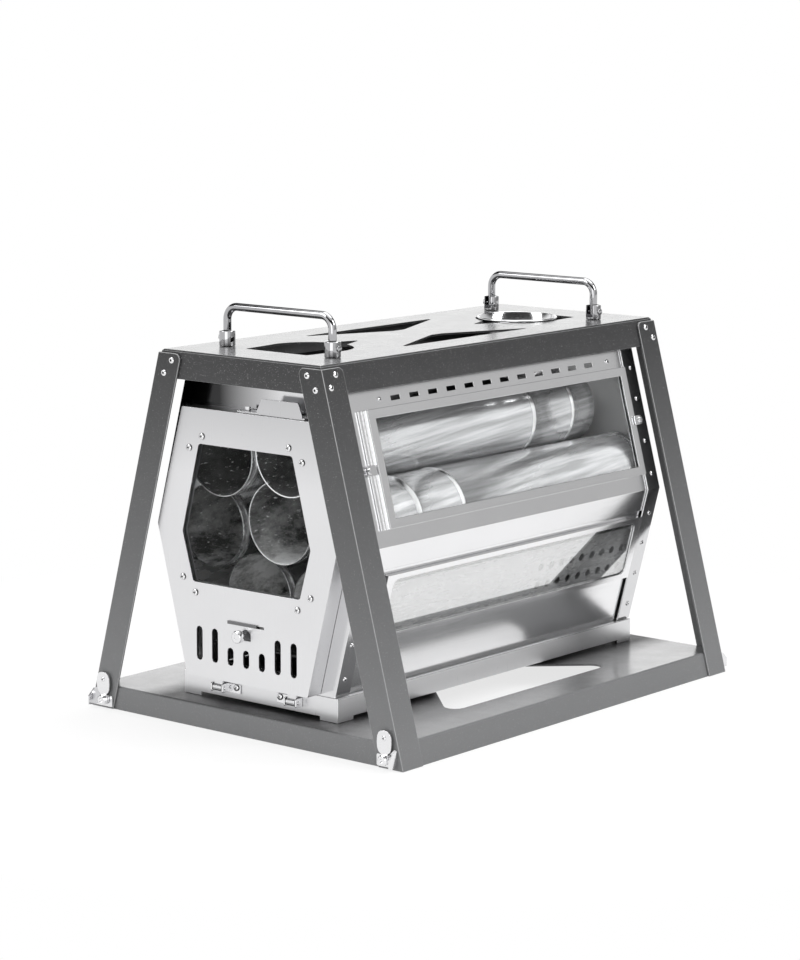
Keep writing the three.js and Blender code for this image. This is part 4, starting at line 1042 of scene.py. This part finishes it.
# worked out from the photo's straight edges: metres, radians and pixels
cameraPlace = {
    "place": (1.9342, -2.3553, 0.7307),
    "yaw": -0.6932,
    "pitch": 0.1667,
    "roll": 0.0017,
    "focalPixels": 3022.9,
    "picture": (800, 960),
    "sensor": 36,
}


def makeCamera():
    look = cameraPlace
    data = bpy.data.cameras.new("photoCamera")
    data.sensor_width = look["sensor"]
    data.lens = look["focalPixels"] / max(look["picture"]) * look["sensor"]
    camera = bpy.data.objects.new("photoCamera", data)
    bpy.context.scene.collection.objects.link(camera)
    sy, cy = math.sin(look["yaw"]), math.cos(look["yaw"])
    sp, cp = math.sin(look["pitch"]), math.cos(look["pitch"])
    ahead = Vector((sy * cp, cy * cp, -sp))
    right = Vector((cy, -sy, 0))
    up = right.cross(ahead)
    sr, cr = math.sin(look["roll"]), math.cos(look["roll"])
    rolledRight = cr * right + sr * up
    rolledUp = cr * up - sr * right
    turn = Matrix((rolledRight, rolledUp, -ahead)).transposed().to_4x4()
    camera.matrix_world = Matrix.Translation(look["place"]) @ turn
    bpy.context.scene.camera = camera


lampLook = {
    "key": {"place": (-1.6, -2.4, 2.4), "size": 1.8, "power": 46},
    "side": {"place": (2.6, 0.9, 2.2), "size": 1.6, "power": 52},
    "top": {"place": (0.0, 0.6, 2.8), "size": 2.2, "power": 40},
    "fill": {"place": (1.1, -2.5, 0.5), "size": 1.7, "power": 13},
    "rear": {"place": (-2.4, 2.9, 0.95), "size": 2.6, "power": 9},
}
lampAim = (0, 0, 0.2)


def makeLamp(name, look):
    data = bpy.data.lights.new(name + "Lamp", "AREA")
    data.energy = look["power"]
    data.size = look["size"]
    lamp = bpy.data.objects.new(name + "Lamp", data)
    bpy.context.scene.collection.objects.link(lamp)
    lamp.visible_camera = False
    lamp.visible_transmission = False
    lamp.location = look["place"]
    lamp.rotation_euler = (Vector(lampAim) - lamp.location).to_track_quat("-Z", "Y").to_euler()


# stops are (place on the ramp, grey)
worldLook = {
    "lighting": 0.55,
    "mirrored": 1.0,
    "backdrop": 1.0,
    "slant": (0.62, 0.62, -0.48),
    "slantStops": [(0.35, 1.0), (0.9, 0.35)],
    "bandStops": [(0.28, 1.0), (0.38, 0.03), (0.68, 0.03), (0.78, 1.0)],
}


def greyRamp(owner, value, stops):
    ramp = addNode(owner, "ShaderNodeValToRGB", {"Fac": value})
    marks = ramp.color_ramp.elements
    for index, (position, grey) in enumerate(stops):
        # a new ramp has two marks
        mark = marks[index] if index < 2 else marks.new(position)
        mark.position = position
        mark.color = (grey, grey, grey, 1)
    return ramp.outputs["Color"]


def makeWorld():
    look = worldLook
    world = bpy.data.worlds.new("studio")
    bpy.context.scene.world = world
    world.use_nodes = True
    world.node_tree.nodes.clear()
    rays = addNode(world, "ShaderNodeLightPath", {}).outputs
    seen = mathNode(world, "MAXIMUM", rays["Is Camera Ray"], rays["Is Transmission Ray"])
    # mirror-like pieces see a room that is white overhead and grey low down on the right
    way = addNode(world, "ShaderNodeTexCoord", {}).outputs["Generated"]
    slant = addNode(world, "ShaderNodeVectorMath", {0: way, 1: look["slant"]}, operation="DOT_PRODUCT")
    room = greyRamp(world, slant.outputs["Value"], look["slantStops"])
    # a dark band above eye level gives rounded bright pieces their black streaks
    height = addNode(world, "ShaderNodeSeparateXYZ", {0: way}).outputs["Z"]
    band = greyRamp(world, height, look["bandStops"])
    colour = blend(world, rays["Is Glossy Ray"], room, band, blend_type="MULTIPLY")
    strength = spread(world, rays["Is Glossy Ray"], look["lighting"], look["mirrored"], 0, 1)
    lit = addNode(world, "ShaderNodeBackground", {"Color": colour, "Strength": strength})
    white = addNode(world, "ShaderNodeBackground", {"Color": (1, 1, 1, 1), "Strength": look["backdrop"]})
    surface = mixShaders(world, seen, lit.outputs["Background"], white.outputs["Background"])
    addNode(world, "ShaderNodeOutputWorld", {"Surface": surface})


# the paper near the stove keeps its shadow, and further out, in metres, it is plain white
floorLook = {"size": 14, "drop": 0.0002, "paper": 0.9, "glow": (0.75, 1.0), "glowFrom": (0.42, 0.75)}


def makeFloor():
    look = floorLook
    bpy.ops.mesh.primitive_plane_add(size=look["size"], location=(0, 0, -look["drop"]))
    floor = bpy.context.object
    floor.name = "studioFloor"
    applyPlace(floor)
    material = bpy.data.materials.new("floorPaper")
    material.use_nodes = True
    material.node_tree.nodes.clear()
    grey = look["paper"]
    paper = addNode(material, "ShaderNodeBsdfDiffuse", {"Color": (grey, grey, grey, 1)}).outputs["BSDF"]
    glow = addNode(material, "ShaderNodeEmission", {"Strength": 1.0}).outputs["Emission"]
    away = addNode(material, "ShaderNodeVectorMath", {0: objectPlace(material)}, operation="LENGTH")
    white = spread(material, away.outputs["Value"], *look["glow"], *look["glowFrom"])
    bounced = addNode(material, "ShaderNodeLightPath", {}).outputs["Is Diffuse Ray"]
    share = mathNode(material, "MULTIPLY", white, mathNode(material, "SUBTRACT", 1.0, bounced))
    addNode(material, "ShaderNodeOutputMaterial", {"Surface": mixShaders(material, share, paper, glow)})
    floor.data.materials.append(material)


makeCamera()
for lampName, look in lampLook.items():
    makeLamp(lampName, look)
makeWorld()
makeFloor()
bpy.context.scene.view_settings.view_transform = "Standard"
print("camera, light and floor made")
